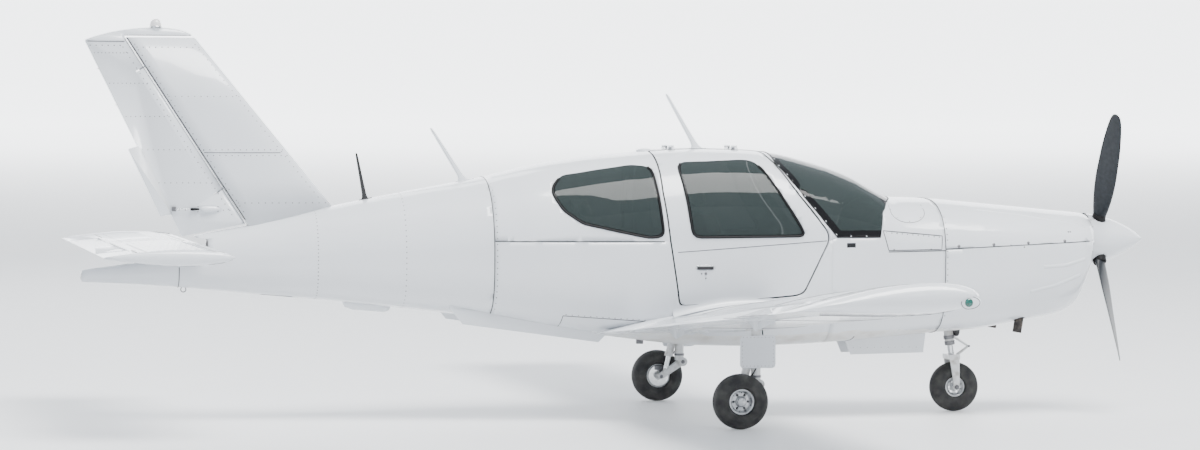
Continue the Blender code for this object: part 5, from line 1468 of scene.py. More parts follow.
    def tailplane_marks(self):
        """The tailplane's seams and rivets, above and below."""
        runs, heads = [], []
        for _, sign in SIDES:
            for up in (1, -1):
                tip = [on_stab(STAB_LE_X - 0.010 - 0.060 * k, sign * 1.776, up, 0.0002)[0] for k in range(13)]
                rear = [on_stab(TAB_HINGE_X + 0.046, sign * (1.156 + 0.062 * k), up)[0] for k in range(11)]
                runs += [(tip, False), (rear, False)]
                for y in (0.16, 0.50, 0.84, 1.18, 1.48, 1.74):
                    last = 12 if y < 1.15 else 17
                    heads += [on_stab(STAB_LE_X - 0.045 - 0.042 * k, sign * y, up) for k in range(last)]
                for x in (-3.130, -3.560):
                    heads += [on_stab(x, sign * (0.14 + 0.040 * k), up) for k in range(41)]
        beads("tailplane_seams", runs, sizes().seam * 0.7, seam_black(), "stabilator")
        studs("tailplane_rivets", heads, sizes().rivet * 0.8, 0.0009, rivet_paint(), "stabilator",
              6)

    def wicks(self):
        """Thin static wicks on the trailing edges."""
        rows = [("rudder", 0.014, Vector((-1, 0, -0.10)),
                 [Vector((along_line(RUDDER_TE, z), 0, z)) for z in (2.20, 2.45)])]
        rows += [("aileron_" + side, 0.110, Vector((-1, sign * 0.05, 0)),
                  [wing_point(sign * y, 1.0, 0.0) for y in (3.75, 4.10, 4.45)]) for side, sign in SIDES]
        for body, length, way, places in rows:
            way.normalize()
            rods = [([point - way * 0.010, point + way * length], False) for point in places]
            feet = [([point - way * 0.030, point + way * 0.002], False) for point in places]
            beads("wicks_" + body, rods, 0.0016, rubber(), body, 1)
            beads("wick_feet_" + body, feet, 0.0030, dark_steel(), body, 1)

    def lights(self):
        """The beacon's ribbed dome on its ring, and the tail light."""
        cover = spun(((0.0, 0.0), (0.0, 0.0410), (0.010, 0.0408), (0.024, 0.0388), (0.038, 0.0345), (0.048, 0.0280),
                      (0.055, 0.0180), (0.0578, 0.0080), (0.058, 0.0)),
                     (BEACON_X, 0, BEACON_Z + 0.0003), (0, 0, 1), 48)
        piece("beacon_dome", cover, [beacon_glass()], "rudder", ("beacon",), 50.0)
        ring = spun(((-0.004, 0.040), (-0.004, 0.0445), (0.004, 0.0445), (0.007, 0.0425), (0.004, 0.0405),
                     (-0.004, 0.040)), (BEACON_X, 0, BEACON_Z), (0, 0, 1), 48)
        piece("beacon_ring", ring, [polished_steel()], "rudder", smooth=40.0)
        tail = spun(((-0.030, 0.0), (-0.030, 0.031), (-0.004, 0.033), (0.004, 0.030), (0.010, 0.022), (0.0135, 0.0)),
                    (-3.852, 0, 1.016), (-1, 0, 0.04), 36)
        piece("tail_light", tail, [lens("tail_lens", (0.80, 0.81, 0.82))], smooth=50.0)


# Propeller

class AIRCRAFT_OT_propeller(bpy.types.Operator):
    """Three blades with their root rings, the hub, the back plate and the spinner with its screws"""
    bl_idname = "aircraft.propeller"
    bl_label = "Propeller"

    def execute(self, context):
        for k in range(BLADE_COUNT):
            turn = Matrix.Translation(HUB) @ Matrix.Rotation(BLADE_TURN + k * math.tau / BLADE_COUNT, 4, "X")
            blade = bridged([blade_ring(radius) for radius in BLADE_PLACES])
            bmesh.ops.transform(blade, matrix=turn, verts=blade.verts)
            piece("blade_%d" % k, blade, [blade_paint()], "propeller", smooth=60.0)
            boot = spun(((0.120, 0.030), (0.120, 0.0490), (0.196, 0.0490), (0.203, 0.0465), (0.206, 0.0420),
                         (0.200, 0.0300), (0.120, 0.030)), (0, 0, 0), (0, 0, 1), 40)
            bmesh.ops.transform(boot, matrix=turn, verts=boot.verts)
            piece("blade_root_%d" % k, boot, [rubber()], "propeller", smooth=50.0)
        hub = spun(((-0.094, 0.0), (-0.094, 0.180), (-0.089, 0.181), (-0.089, 0.150), (-0.080, 0.074),
                    (0.070, 0.070), (0.088, 0.052), (0.090, 0.0)), HUB, (1, 0, 0), 56)
        piece("propeller_hub", hub, [dark_steel()], "propeller", ("propeller",), 40.0)
        spinner = self.round_spinner(node_copy("spinner"))
        piece("spinner_shell", spinner, [white_paint()], "propeller", ("spinner",), 40.0)
        screw_share = 0.045
        middle, reach = Vector((SPINNER_REAR_X + SPINNER_LENGTH * screw_share, 0, HUB.z)), spinner_reach(screw_share)
        heads = [(middle + Vector((0, math.cos(a), math.sin(a))) * reach,
                  Vector((0.12, math.cos(a), math.sin(a))).normalized()) for a in angles(18, 0.5)]
        studs("spinner_screws", heads, 0.0056, 0.0022, dark_steel(), "propeller", 12)
        gap = [Vector((SPINNER_REAR_X + 0.003, 0, HUB.z)) + Vector((0, math.cos(a), math.sin(a))) * spinner_reach(0.0)
               for a in angles(64)]
        beads("spinner_gap", [(gap, True)], 0.0055, seam_black(), "propeller")
        return {"FINISHED"}

    def round_spinner(self, bm):
        """Moves the spinner's flats out to its true turned form."""
        bm = refine(bm, (0.016, 0.0, 0.0))
        for angle in angles(48, 0.5)[:24]:
            bisected(bm, HUB, (0.0, -math.sin(angle), math.cos(angle)))
        bmesh.ops.triangulate(bm, faces=bm.faces)
        half = SPINNER_STEP / 2
        for vertex in bm.verts:
            x, y, z = vertex.co
            t = (x - SPINNER_REAR_X) / SPINNER_LENGTH
            reach = math.hypot(y, z - HUB.z)
            if not 0.0 <= t < 0.998 or reach < 0.002:
                continue
            k = max(i for i, row in enumerate(SPINNER_ROWS[:-1]) if row <= t + 1e-6)
            share = (t - SPINNER_ROWS[k]) / (SPINNER_ROWS[k + 1] - SPINNER_ROWS[k])
            flat = spinner_reach(SPINNER_ROWS[k]) * (1 - share) + spinner_reach(SPINNER_ROWS[k + 1]) * share
            flat *= math.cos(half) / math.cos(math.atan2(z - HUB.z, y) % SPINNER_STEP - half)
            if abs(reach - flat) < 0.0012:
                grown = spinner_reach(t) / reach
                vertex.co.y = y * grown
                vertex.co.z = HUB.z + (z - HUB.z) * grown
        return bm


# Landing gear

class AIRCRAFT_OT_gear(bpy.types.Operator):
    """Tyres, wheels, brakes, legs with their polished pistons, links and hoses, and the gear doors"""
    bl_idname = "aircraft.gear"
    bl_label = "Landing gear"

    def execute(self, context):
        for side, sign in SIDES:
            centre = Vector((MAIN_AXLE.x, sign * MAIN_AXLE.y, MAIN_AXLE.z))
            self.wheel("main_" + side, "main_wheel_" + side, centre, 0.190, 0.155, 0.088, 0.0183, sign)
            self.brake(side, sign, centre)
            self.main_leg(side, sign)
        self.wheel("nose", "nose_wheel", NOSE_AXLE, 0.178, 0.125, 0.072, 0.0123, -1)
        self.nose_leg()
        for node in ("main_leg_left", "main_leg_right", "nose_leg", "nose_fork"):
            dress(node, leg_paint())
        for node in ("main_gear_door_left", "main_gear_door_right", "nose_bay_door_left", "nose_bay_door_right"):
            dress(node, white_paint())
        self.door_rivets()
        return {"FINISHED"}

    def turned(self, side, centre, segments):
        """A form turned about an axle from one half of its profile, the other half being its mirror image."""
        profile = [(-place, r) for place, r in reversed(side)] + side
        return spun(profile + profile[:1], centre, (0, 1, 0), segments)

    def wheel(self, name, body, centre, radius, width, rim, bore, outward):
        """A grooved tyre on an alloy wheel with lightening holes, bolts and a hub cap."""
        half, bead = width / 2, rim + 0.0003
        side = []
        for groove in (0.0, 0.20, 0.40):
            middle, crown = groove * half, radius - 0.0035 * (groove / 0.5) ** 2
            rows = ((-0.0022, 0.0), (-0.0016, 0.0045), (0.0016, 0.0045), (0.0022, 0.0))
            side += [(middle + dx, crown - dip) for dx, dip in (rows if groove else rows[2:])]
        side += [(half * 0.58, radius - 0.006), (half * 0.74, radius - 0.014), (half * 0.88, radius - 0.030),
                 (half * 0.97, radius - 0.050), (half, (bead + radius) / 2 - 0.004), (half * 0.985, bead + 0.030),
                 (half * 0.93, bead + 0.017), (half * 0.93, bead + 0.012), (half * 0.84, bead + 0.004),
                 (half * 0.66, bead)]
        tyre = self.turned(side, centre, 72)
        piece(name + "_tyre_tread", tyre, [tyre_rubber()], body, (name + "_tyre",), 34.0)
        lip = half * 0.60
        side = [(half * 0.50, bore), (half * 0.50, bore + 0.012), (half * 0.46, bore + 0.016),
                (half * 0.20, bore + 0.022), (half * 0.16, rim - 0.026), (half * 0.40, rim - 0.012),
                (lip, rim - 0.011), (lip + 0.003, rim - 0.006), (lip + 0.002, rim - 0.0005), (lip, rim)]
        disc = self.turned(side, centre, 60)
        middle = (bore + 0.022 + rim - 0.026) / 2
        cutters = bmesh.new()
        for angle in angles(6):
            place = centre + Vector((math.cos(angle), 0, math.sin(angle))) * middle
            turn = Matrix.Translation(place) @ Matrix.Rotation(math.pi / 2, 4, "X")
            bmesh.ops.create_cone(cutters, cap_ends=True, segments=20, radius1=0.0095, radius2=0.0095, depth=0.2,
                                  matrix=turn)
        disc = cut(disc, cutters)
        piece(name + "_wheel", disc, [alloy()], body, (name + "_rim",), 34.0)
        cap = spun(((half * 0.44, 0.0), (half * 0.44, bore + 0.0135), (half * 0.56, bore + 0.0135),
                    (half * 0.66, bore + 0.009), (half * 0.72, bore * 0.5), (half * 0.73, 0.0)),
                   centre, (0, outward, 0), 36)
        piece(name + "_hub_cap", cap, [bare_metal("cap_metal", (0.62, 0.63, 0.64), 0.18, 0.34)], body,
              smooth=40.0)
        face = centre + Vector((0, outward * half * 0.28, 0))
        bolts = [(face + Vector((math.cos(a), 0, math.sin(a))) * (rim - 0.019), Vector((0, outward, 0)))
                 for a in angles(9, 0.5)]
        studs(name + "_bolts", bolts, 0.0048, 0.010, dark_steel(), body, 6)
        valve = [centre + Vector((0, outward * half * 0.30, rim - 0.022)),
                 centre + Vector((0, outward * half * 0.62, rim - 0.026))]
        beads(name + "_valve", [(valve, False)], 0.003, rubber(), body)

    def brake(self, side, sign, centre):
        """A brake disc on the wheel, with its caliper and bracket on the leg."""
        inner = -sign
        disc = spun(((0.046, 0.030), (0.046, 0.076), (0.054, 0.076), (0.054, 0.030), (0.046, 0.030)),
                    centre, (0, inner, 0), 56)
        piece("brake_disc_" + side, disc, [polished_steel()], "main_wheel_" + side, smooth=40.0)
        y0, y1 = sorted((centre.y + inner * 0.040, centre.y + inner * 0.066))
        caliper = rounded_block((centre.x - 0.030, y0, centre.z + 0.044), (centre.x + 0.034, y1, centre.z + 0.080),
                                0.006)
        piece("brake_caliper_" + side, caliper, [dark_steel()])
        arm = [Vector((centre.x + 0.020, centre.y + inner * 0.060, centre.z + 0.060)),
               Vector((centre.x + 0.020, centre.y + inner * 0.096, centre.z + 0.030))]
        beads("brake_bracket_" + side, [(arm, False)], 0.008, dark_steel(), sides=3)

    def main_leg(self, side, sign):
        """Polished damper rod, gland rings, pins and the brake hose of a trailing-arm leg."""
        s = sign * LEG_Y
        low, high = Vector((MAIN_AXLE.x + 0.030, s, MAIN_AXLE.z + 0.030)), Vector((LEG_X - 0.025, s, 0.560))
        along = (high - low).normalized()
        length = (high - low).length
        rod = spun(((0.030, 0.0), (0.030, 0.0192), (0.150, 0.0192), (0.150, 0.0)), low, along, 32)
        piece("damper_rod_" + side, rod, [polished_steel()], smooth=40.0)
        gland = spun(((0.128, 0.018), (0.128, 0.0285), (0.146, 0.0285), (0.150, 0.0272), (length * 0.7, 0.0272),
                      (length * 0.7 + 0.004, 0.024)), low, along, 32)
        bmesh.ops.holes_fill(gland, edges=gland.edges, sides=0)
        bmesh.ops.recalc_face_normals(gland, faces=gland.faces)
        piece("damper_tube_" + side, gland, [leg_paint()], smooth=40.0)
        pins = [(Vector((x, s + way * reach, z)), Vector((0, way, 0))) for x, z, way, reach in
                ((LEG_X + 0.020, 0.300, 1, 0.042), (LEG_X + 0.020, 0.300, -1, 0.042),
                 (MAIN_AXLE.x, MAIN_AXLE.z, -sign, 0.024))]
        studs("leg_pins_" + side, pins, 0.017, 0.010, dark_steel(), segments=6)
        hose = [Vector((LEG_X + 0.040 - 0.150 * t ** 2.2 + math.sin(math.pi * t) * 0.020,
                        s + sign * (0.010 + 0.030 * t), 0.690 - 0.420 * t)) for t in [k / 24 for k in range(25)]]
        beads("brake_hose_" + side, [(hose, False)], 0.0045, rubber())
        rings = spun(((0.0, 0.033), (0.0, 0.0375), (0.016, 0.0375), (0.016, 0.033), (0.0, 0.033)),
                     (LEG_X, s, 0.345), (0, 0, 1), 32)
        piece("leg_collar_" + side, rings, [dark_steel()], smooth=40.0)

    def nose_leg(self):
        """The nose leg's piston, gland, collar and links on its raked axis, its axle nuts and the landing lamp."""
        rake = math.radians(8.0)
        down = Vector((math.sin(rake), 0, -math.cos(rake)))

        def on_axis(z):
            return Vector((2.385, 0.0, 0.600)) + down * ((0.600 - z) / math.cos(rake))
        top = on_axis(0.4800)
        piston = spun(((0.003, 0.0), (0.003, 0.0226), (0.078, 0.0226), (0.078, 0.0)), top, down, 36)
        piece("nose_piston", piston, [polished_steel()], "nose_fork", smooth=40.0)
        gland = spun(((-0.030, 0.0335), (-0.030, 0.0375), (-0.006, 0.0375), (-0.001, 0.0345), (-0.001, 0.0335),
                      (-0.030, 0.0335)), top, down, 36)
        piece("nose_gland", gland, [dark_steel()], smooth=40.0)
        collar = spun(((-0.070, 0.0345), (-0.070, 0.0400), (-0.045, 0.0400), (-0.045, 0.0345), (-0.070, 0.0345)),
                      top, down, 36)
        piece("nose_steering_collar", collar, [dark_steel()], "nose_fork", smooth=40.0)
        middle = Vector((2.540, 0.0, 0.470))
        for name, z in (("upper", 0.537), ("lower", 0.403)):
            end = on_axis(z) + Vector((0.036, 0, 0))
            runs = [([end + Vector((0, y, 0)), middle + Vector((0, y * 0.35, 0))], False) for y in (-0.022, 0.022)]
            runs.append(([end + Vector((0, -0.028, 0)), end + Vector((0, 0.028, 0))], False))
            beads("nose_link_" + name, runs, 0.0065, leg_paint(), "nose_fork", 3)
        pin = [middle + Vector((0, -0.022, 0)), middle + Vector((0, 0.022, 0))]
        beads("nose_link_pin", [(pin, False)], 0.008, dark_steel(), "nose_fork", 3)
        ends = [(NOSE_AXLE + Vector((0, way * 0.090, 0)), Vector((0, way, 0))) for way in (1, -1)]
        studs("nose_axle_nuts", ends, 0.019, 0.012, dark_steel(), "nose_fork", 6)
        lamp = spun(((0.0, 0.0), (0.0, 0.036), (0.012, 0.045), (0.030, 0.048), (0.034, 0.046), (0.034, 0.0)),
                    on_axis(0.590) + Vector((0.040, 0, 0)), (1, 0, -0.05), 40)
        piece("landing_lamp_case", lamp, [black_plastic()], smooth=40.0)
        glass = spun(((0.0, 0.0), (0.0, 0.043), (0.004, 0.043), (0.009, 0.028), (0.011, 0.0)),
                     on_axis(0.590) + Vector((0.0735, 0, -0.0015)), (1, 0, -0.05), 40)
        piece("landing_lamp_glass", glass, [lens("lamp_glass", (0.72, 0.75, 0.78))], smooth=60.0)

    def door_rivets(self):
        """Rivets round the main gear doors and along the nose bay's doors."""
        heads = []
        for _, sign in SIDES:
            y = LEG_Y + 0.0412
            places = [(0.562 + 0.026 * k, y, z) for k in range(9) for z in (0.425, 0.622)]
            places += [(x, y, 0.455 + 0.027 * k) for k in range(6) for x in (0.556, 0.774)]
            places += [(1.640 + 0.052 * k, 0.1352, 0.475) for k in range(10)]
            heads += [(Vector((x, sign * y, z)), Vector((0, sign, 0))) for x, y, z in places]
        studs("gear_door_rivets", heads, 0.0028, 0.0012, rivet_paint(), segments=8)


# Seats

def puffed(bm, voxel, reach):
    """A closed form blown up like a cushion: remeshed, run as cloth under pressure, and held within a reach."""
    scene = bpy.context.scene
    holder = linked("pad", bm)
    mesh = holder.data
    remesh = holder.modifiers.new("remesh", "REMESH")
    remesh.mode = "VOXEL"
    remesh.voxel_size = voxel
    even = evaluated(holder)
    holder.modifiers.clear()
    holder.data = even
    bpy.data.meshes.remove(mesh)
    cloth = holder.modifiers.new("cloth", "CLOTH")
    cloth.settings.quality = 4
    cloth.settings.use_pressure = True
    cloth.settings.uniform_pressure_force = 4.0
    cloth.settings.effector_weights.gravity = 0.0
    cloth.collision_settings.use_collision = False
    for step in range(1, 21):
        scene.frame_set(step)
    blown = evaluated(holder)
    holder.modifiers.clear()
    for vertex, moved in zip(even.vertices, blown.vertices):
        shift = moved.co - vertex.co
        if shift.length > reach:
            shift *= reach / shift.length
        vertex.co += shift
    bpy.data.meshes.remove(blown)
    scene.frame_set(1)
    result = bmesh.new()
    result.from_mesh(even)
    bpy.data.objects.remove(holder, do_unlink=True)
    bpy.data.meshes.remove(even)
    bmesh.ops.smooth_vert(result, verts=result.verts, factor=0.5, use_axis_x=True, use_axis_y=True, use_axis_z=True)
    return result


def rounded_outline(outline, radius):
    """An outline with each corner replaced by a short curve."""
    result, steps = [], 4
    count = len(outline)
    for i in range(count):
        before, here, after = (Vector(outline[(i + k) % count]) for k in (-1, 0, 1))
        start = here + (before - here).normalized() * min(radius, (before - here).length * 0.45)
        end = here + (after - here).normalized() * min(radius, (after - here).length * 0.45)
        for k in range(steps + 1):
            t = k / steps
            result.append(start * (1 - t) ** 2 + here * 2 * t * (1 - t) + end * t * t)
    return result


def pad_form(outline, y0, y1):
    """A pad before it is blown up: an outline in side view drawn in at its two ends."""
    inset, pinch = 0.012, 0.030
    points = rounded_outline(outline, 0.045)
    middle = sum(points, Vector((0, 0))) / len(points)
    y0, y1 = y0 + inset, y1 - inset
    rings = []
    for y, share in ((y0, pinch), (y0 + 0.020, 0.010), (y0 + 0.060, 0.0), ((y0 + y1) / 2, 0.0), (y1 - 0.060, 0.0),
                     (y1 - 0.020, 0.010), (y1, pinch)):
        ring = []
        for point in points:
            away = point - middle
            away *= 1.0 - (inset * 0.8 + share) / max(away.length, 0.05)
            ring.append(Vector((middle.x + away.x, y, middle.y + away.y)))
        rings.append(ring)
    return bridged(rings)


def sewn(bm, lines, way):
    """Presses sewn channels into a pad along lines laid on it from outside, and gives the lines where they lie."""
    width, depth = 0.022, 0.007
    tree = BVHTree.FromBMesh(bm)
    laid = []
    for line in lines:
        run = []
        for a, b in zip(line, line[1:]):
            count = max(1, round((b - a).length / 0.006))
            for k in range(count):
                hit = tree.ray_cast(a.lerp(b, k / count) - way * 0.5, way)
                if hit[0]:
                    run.append(hit[0])
        laid.append(run)
    marks = KDTree(sum(len(run) for run in laid))
    for index, point in enumerate(point for run in laid for point in run):
        marks.insert(point, index)
    marks.balance()
    bm.normal_update()
    shifts = []
    for vertex in bm.verts:
        _, _, distance = marks.find(vertex.co)
        if distance < width:
            shifts.append((vertex, vertex.normal * -depth * (1 - (distance / width) ** 2) ** 2))
    for vertex, shift in shifts:
        vertex.co += shift
    return [[point + way * (depth * 0.80) for point in run] for run in laid]


class AIRCRAFT_OT_seats(bpy.types.Operator):
    """Two front seats and a rear bench: blown leather pads with sewn channels, on shells and rails"""
    bl_idname = "aircraft.seats"
    bl_label = "Seats"

    def execute(self, context):
        down, back = Vector((0, 0, -1)), Vector((-1, 0, 0))
        for name, parts in (("front", FRONT_SEAT), ("rear", REAR_SEAT)):
            cushion, rest, head, span, head_span = parts
            seams = [[Vector((x, y, 1.3)) for x in (cushion[0][0] + 0.05, cushion[1][0] - 0.05)]
                     for y in self.channels(*span)]
            self.pad(name + "_cushion", cushion, span, seams, down, 0.026)
            low, high = rest[1], rest[2]
            seams = [[Vector((low[0] + 0.20, y, low[1] + 0.07)), Vector((high[0] + 0.20, y, high[1] - 0.05))]
                     for y in self.channels(*span)]
            self.pad(name + "_back", rest, span, seams, back, 0.024)
            middle_z = (head[1][1] + head[2][1]) / 2
            seams = [[Vector((0.9, y, middle_z)) for y in (head_span[0] + 0.03, head_span[1] - 0.03)]]
            self.pad(name + "_headrest", head, head_span, seams, back, 0.020)
        self.frames()
        return {"FINISHED"}

    def channels(self, y0, y1):
        """The places across a pad of its sewn channels."""
        count = max(2, round((y1 - y0) / 0.17))
        return [y0 + (y1 - y0) * (k + 0.5) / count for k in range(count)]

    def pad(self, name, outline, span, seams, way, reach):
        """One pad and its mirror image, or the bench's pads in one span; headrests come in pairs."""
        bm = puffed(pad_form(outline, *span), 0.0125, reach)
        laid = sewn(bm, seams, way)
        bench = name in ("rear_cushion", "rear_back")
        for side, sign in (("right", -1),) if bench else SIDES:
            copy = bm.copy()
            runs = [[point.copy() for point in run] for run in laid]
            if sign < 0 and not bench:
                bmesh.ops.scale(copy, vec=(1, -1, 1), verts=copy.verts)
                bmesh.ops.reverse_faces(copy, faces=copy.faces)
                for run in runs:
                    for point in run:
                        point.y = -point.y
            label = name if bench else name + "_" + side
            node = {"front_cushion": ("front_seat_" + side,), "rear_cushion": ("rear_bench",)}.get(name, ())
            obj = piece("pad_" + label, copy, [leather()], replaces=node, smooth=180.0)
            finer = obj.modifiers.new("finer", "SUBSURF")
            finer.levels = finer.render_levels = 1
            beads("stitching_" + label, [(run, False) for run in runs if len(run) > 2], 0.0013, seat_thread(),
                  sides=1)
        bm.free()

    def frames(self):
        """Shells, posts and rails that carry the pads, and the belts."""
        for side, sign in SIDES:
            y0, y1 = sorted((sign * 0.110, sign * 0.540))
            base = rounded_block((0.640, y0, 0.870), (1.060, y1, 0.958), 0.014)
            piece("front_seat_pan_" + side, base, [black_plastic()])
            runs = []
            for y in (y0 + 0.045, y1 - 0.045):
                runs.append(([Vector((0.600, y, 0.812)), Vector((1.120, y, 0.812))], False))
                for x in (0.690, 1.010):
                    runs.append(([Vector((x, y, 0.812)), Vector((x, y, 0.880))], False))
            beads("front_seat_rails_" + side, runs, 0.010, dark_steel(), sides=3)
            for row, low, high, places in (("front", (0.465, 1.430), (0.440, 1.530), (0.265, 0.385)),
                                           ("rear", (-0.340, 1.360), (-0.365, 1.450), (0.245, 0.345))):
                posts = [([Vector((x, sign * y, z)) for x, z in (low, high)], False) for y in places]
                beads(row + "_headrest_posts_" + side, posts, 0.006, polished_steel(), sides=3)
            self.belt("belt_" + side, [Vector((x, sign * y, z)) for x, y, z in BELT])
        bench = rounded_block((-0.205, -0.470, 0.803), (0.185, 0.470, 0.922), 0.014)
        piece("rear_bench_base", bench, [cabin_trim()])

    def belt(self, name, points):
        """A flat webbing strap through points."""
        bm = bmesh.new()
        rows = []
        for point in points:
            rows.append([bm.verts.new(point + Vector((0, dy, 0.001))) for dy in (-0.023, 0.023)])
        for first, second in zip(rows, rows[1:]):
            bm.faces.new((first[0], first[1], second[1], second[0]))
        bmesh.ops.subdivide_edges(bm, edges=bm.edges[:], cuts=3, use_grid_fill=True, smooth=0.6)
        bmesh.ops.recalc_face_normals(bm, faces=bm.faces)
        bmesh.ops.solidify(bm, geom=bm.faces[:], thickness=0.002)
        bmesh.ops.recalc_face_normals(bm, faces=bm.faces)
        piece(name, bm, [webbing()], smooth=60.0)


# Cabin

class AIRCRAFT_OT_cabin(bpy.types.Operator):
    """Instrument panel with its dials and screens, glare shield, console with levers, and the two yokes"""
    bl_idname = "aircraft.cabin"
    bl_label = "Cabin"

    def execute(self, context):
        face = rounded_block((PANEL_X, -0.540, 1.020), (1.480, 0.540, 1.318), 0.012)
        piece("panel_board", face, [panel_paint()], replaces=("instrument_panel",))
        outline = [(1.395, 1.302), (1.398, 1.322), (1.420, 1.333), (1.560, 1.306), (1.690, 1.272), (1.690, 1.252),
                   (1.560, 1.284), (1.430, 1.308)]
        shade = bridged([[Vector((x, y, z - drop)) for x, z in outline] for y, drop in
                         ((-0.540, 0.012), (-0.500, 0.003), (-0.300, 0.0), (0.0, 0.0), (0.300, 0.0), (0.500, 0.003),
                          (0.540, 0.012))])
        piece("glare_shield", shade, [black_plastic()], smooth=50.0)
        self.dials()
        self.screens()
        self.console()
        for side, sign in SIDES:
            self.yoke(side, sign)
        return {"FINISHED"}

    def dials(self):
        """Dials with their rings, hands and marks. Each hand stands at an angle that its dial's place gives."""
        rings, faces, hands = bmesh.new(), bmesh.new(), []
        for y, z, radius in DIALS:
            inner, outer = radius - 0.001, radius + 0.006
            join_into(rings, spun(((-0.001, inner), (0.006, inner), (0.007, radius + 0.002), (0.005, outer),
                                   (-0.001, outer), (-0.001, inner)), (PANEL_X, y, z), (-1, 0, 0), 36))
            join_into(faces, spun(((-0.001, 0.0), (-0.001, inner), (0.0015, inner), (0.0015, 0.0)),
                                  (PANEL_X, y, z), (-1, 0, 0), 36))
            turn = 1.3 + 9.0 * (y + z)
            for x, start, end, ways in ((PANEL_X - 0.0020, 0.0, 0.72, [turn]),
                                        (PANEL_X - 0.0017, 0.80, 0.92, angles(12))):
                hands += [([Vector((x, y + radius * share * math.cos(a), z + radius * share * math.sin(a)))
                            for share in (start, end)], False) for a in ways]
        piece("dial_rings", rings, [black_plastic()], smooth=40.0)
        piece("dial_faces", faces, [dial_face()], smooth=40.0)
        beads("dial_marks", hands, 0.0007, lens("dial_white", (0.85, 0.85, 0.82)), sides=0)

    def screens(self):
        """Three framed screens with two knobs each, and the row of switches."""
        for index, (y, z, width, height) in enumerate(((0.140, 1.225, 0.150, 0.105), (-0.120, 1.235, 0.140, 0.100),
                                                       (-0.120, 1.120, 0.140, 0.070))):
            low, high = Vector((0, y - width / 2, z - height / 2)), Vector((0, y + width / 2, z + height / 2))
            edge = Vector((0, 0.012, 0.010))
            block = rounded_block(low + Vector((1.4310, 0, 0)), high + Vector((1.4425, 0, 0)), 0.004)
            piece("screen_frame_%d" % index, block, [black_plastic()])
            pane = rounded_block(low + edge + Vector((1.4298, 0, 0)), high - edge + Vector((1.4330, 0, 0)), 0.001, 2)
            piece("screen_glass_%d" % index, pane, [dial_face()])
            knobs = [(Vector((1.4335, place, low.z + 0.016)), Vector((-1, 0, 0)))
                     for place in (high.y - 0.006, low.y + 0.006)]
            studs("screen_knobs_%d" % index, knobs, 0.0065, 0.016, dark_steel(), segments=18)
        switches = [(Vector((PANEL_X, 0.505 - 0.026 * k, 1.050)), Vector((-1, 0, 0))) for k in range(11)]
        studs("panel_switches", switches, 0.006, 0.018, alloy(), segments=12)

    def console(self):
        """The console below the panel with its three levers."""
        body = rounded_block((1.360, -0.085, 0.803), (1.4390, 0.085, 1.046), 0.018)
        piece("console", body, [panel_paint()])
        for index, (y, color) in enumerate(((0.040, (0.02, 0.02, 0.02)), (0.0, (0.02, 0.03, 0.30)),
                                            (-0.040, (0.42, 0.02, 0.02)))):
            stem = [Vector((1.420, y, 1.040)), Vector((1.385, y, 1.078)), Vector((1.350, y, 1.108))]
            beads("lever_stem_%d" % index, [(stem, False)], 0.0035, polished_steel())
            knob = spun(((0.0, 0.0), (0.0, 0.011), (0.006, 0.016), (0.020, 0.016), (0.027, 0.010), (0.027, 0.0)),
                        stem[-1], (-0.7, 0, 0.7), 28)
            piece("lever_knob_%d" % index, knob, [lens("knob_%d" % index, color)], smooth=50.0)

    def yoke(self, side, sign):
        """One yoke: its shaft from the panel, its bent grip and its pad."""
        y, z = sign * 0.310, 1.130
        shaft = spun(((0.0, 0.0), (0.0, 0.0135), (0.150, 0.0135), (0.160, 0.024), (0.190, 0.026), (0.190, 0.0)),
                     (1.445, y, z), (-1, 0, 0), 32)
        piece("yoke_shaft_" + side, shaft, [dark_steel()], smooth=40.0)
        half = ((0.22, 0.0), (0.55, -0.004), (0.90, -0.008), (1.02, 0.016), (1.03, 0.060), (1.0, 0.100),
                (0.93, 0.112))
        wheel = [Vector((1.262, y + u * 0.118, z + v)) for u, v in [(-u, v) for u, v in half[::-1]] + list(half)]
        beads("yoke_wheel_" + side, [(wheel, False)], 0.0125, black_plastic(), sides=4)
        pad = rounded_block((1.244, y - 0.040, z - 0.022), (1.280, y + 0.040, z + 0.022), 0.010)
        piece("yoke_pad_" + side, pad, [black_plastic()])


# Engine and antennas

class AIRCRAFT_OT_engine(bpy.types.Operator):
    """Sooty engine with the cooling fins seen through the inlets, and hollow exhaust ends"""
    bl_idname = "aircraft.engine"
    bl_label = "Engine"

    def execute(self, context):
        dress("engine", sooty_steel())
        for side, sign in SIDES:
            fins = bmesh.new()
            for k in range(9):
                z = 1.088 + 0.018 * k
                y0, y1 = sorted((sign * 0.190, sign * 0.372))
                join_into(fins, rounded_block((3.090, y0, z), (3.150, y1, z + 0.006), 0.0025, 2))
            piece("cylinder_fins_" + side, fins, [bare_metal("fin_metal", (0.30, 0.29, 0.28), 0.40, 0.65)])
            high = exhaust_place(0.700, sign)
            along = exhaust_place(0.598, sign) - high
            length = along.length
            pipe = spun(((0.0, 0.0302), (0.0, 0.0322), (length + 0.012, 0.0322), (length + 0.014, 0.0312),
                         (length + 0.012, 0.0285), (length - 0.002, 0.0285), (length - 0.002, 0.0302),
                         (0.0, 0.0302)), high, along.normalized(), 44)
            piece("exhaust_end_" + side, pipe, [sooty_steel()], smooth=40.0)
        return {"FINISHED"}


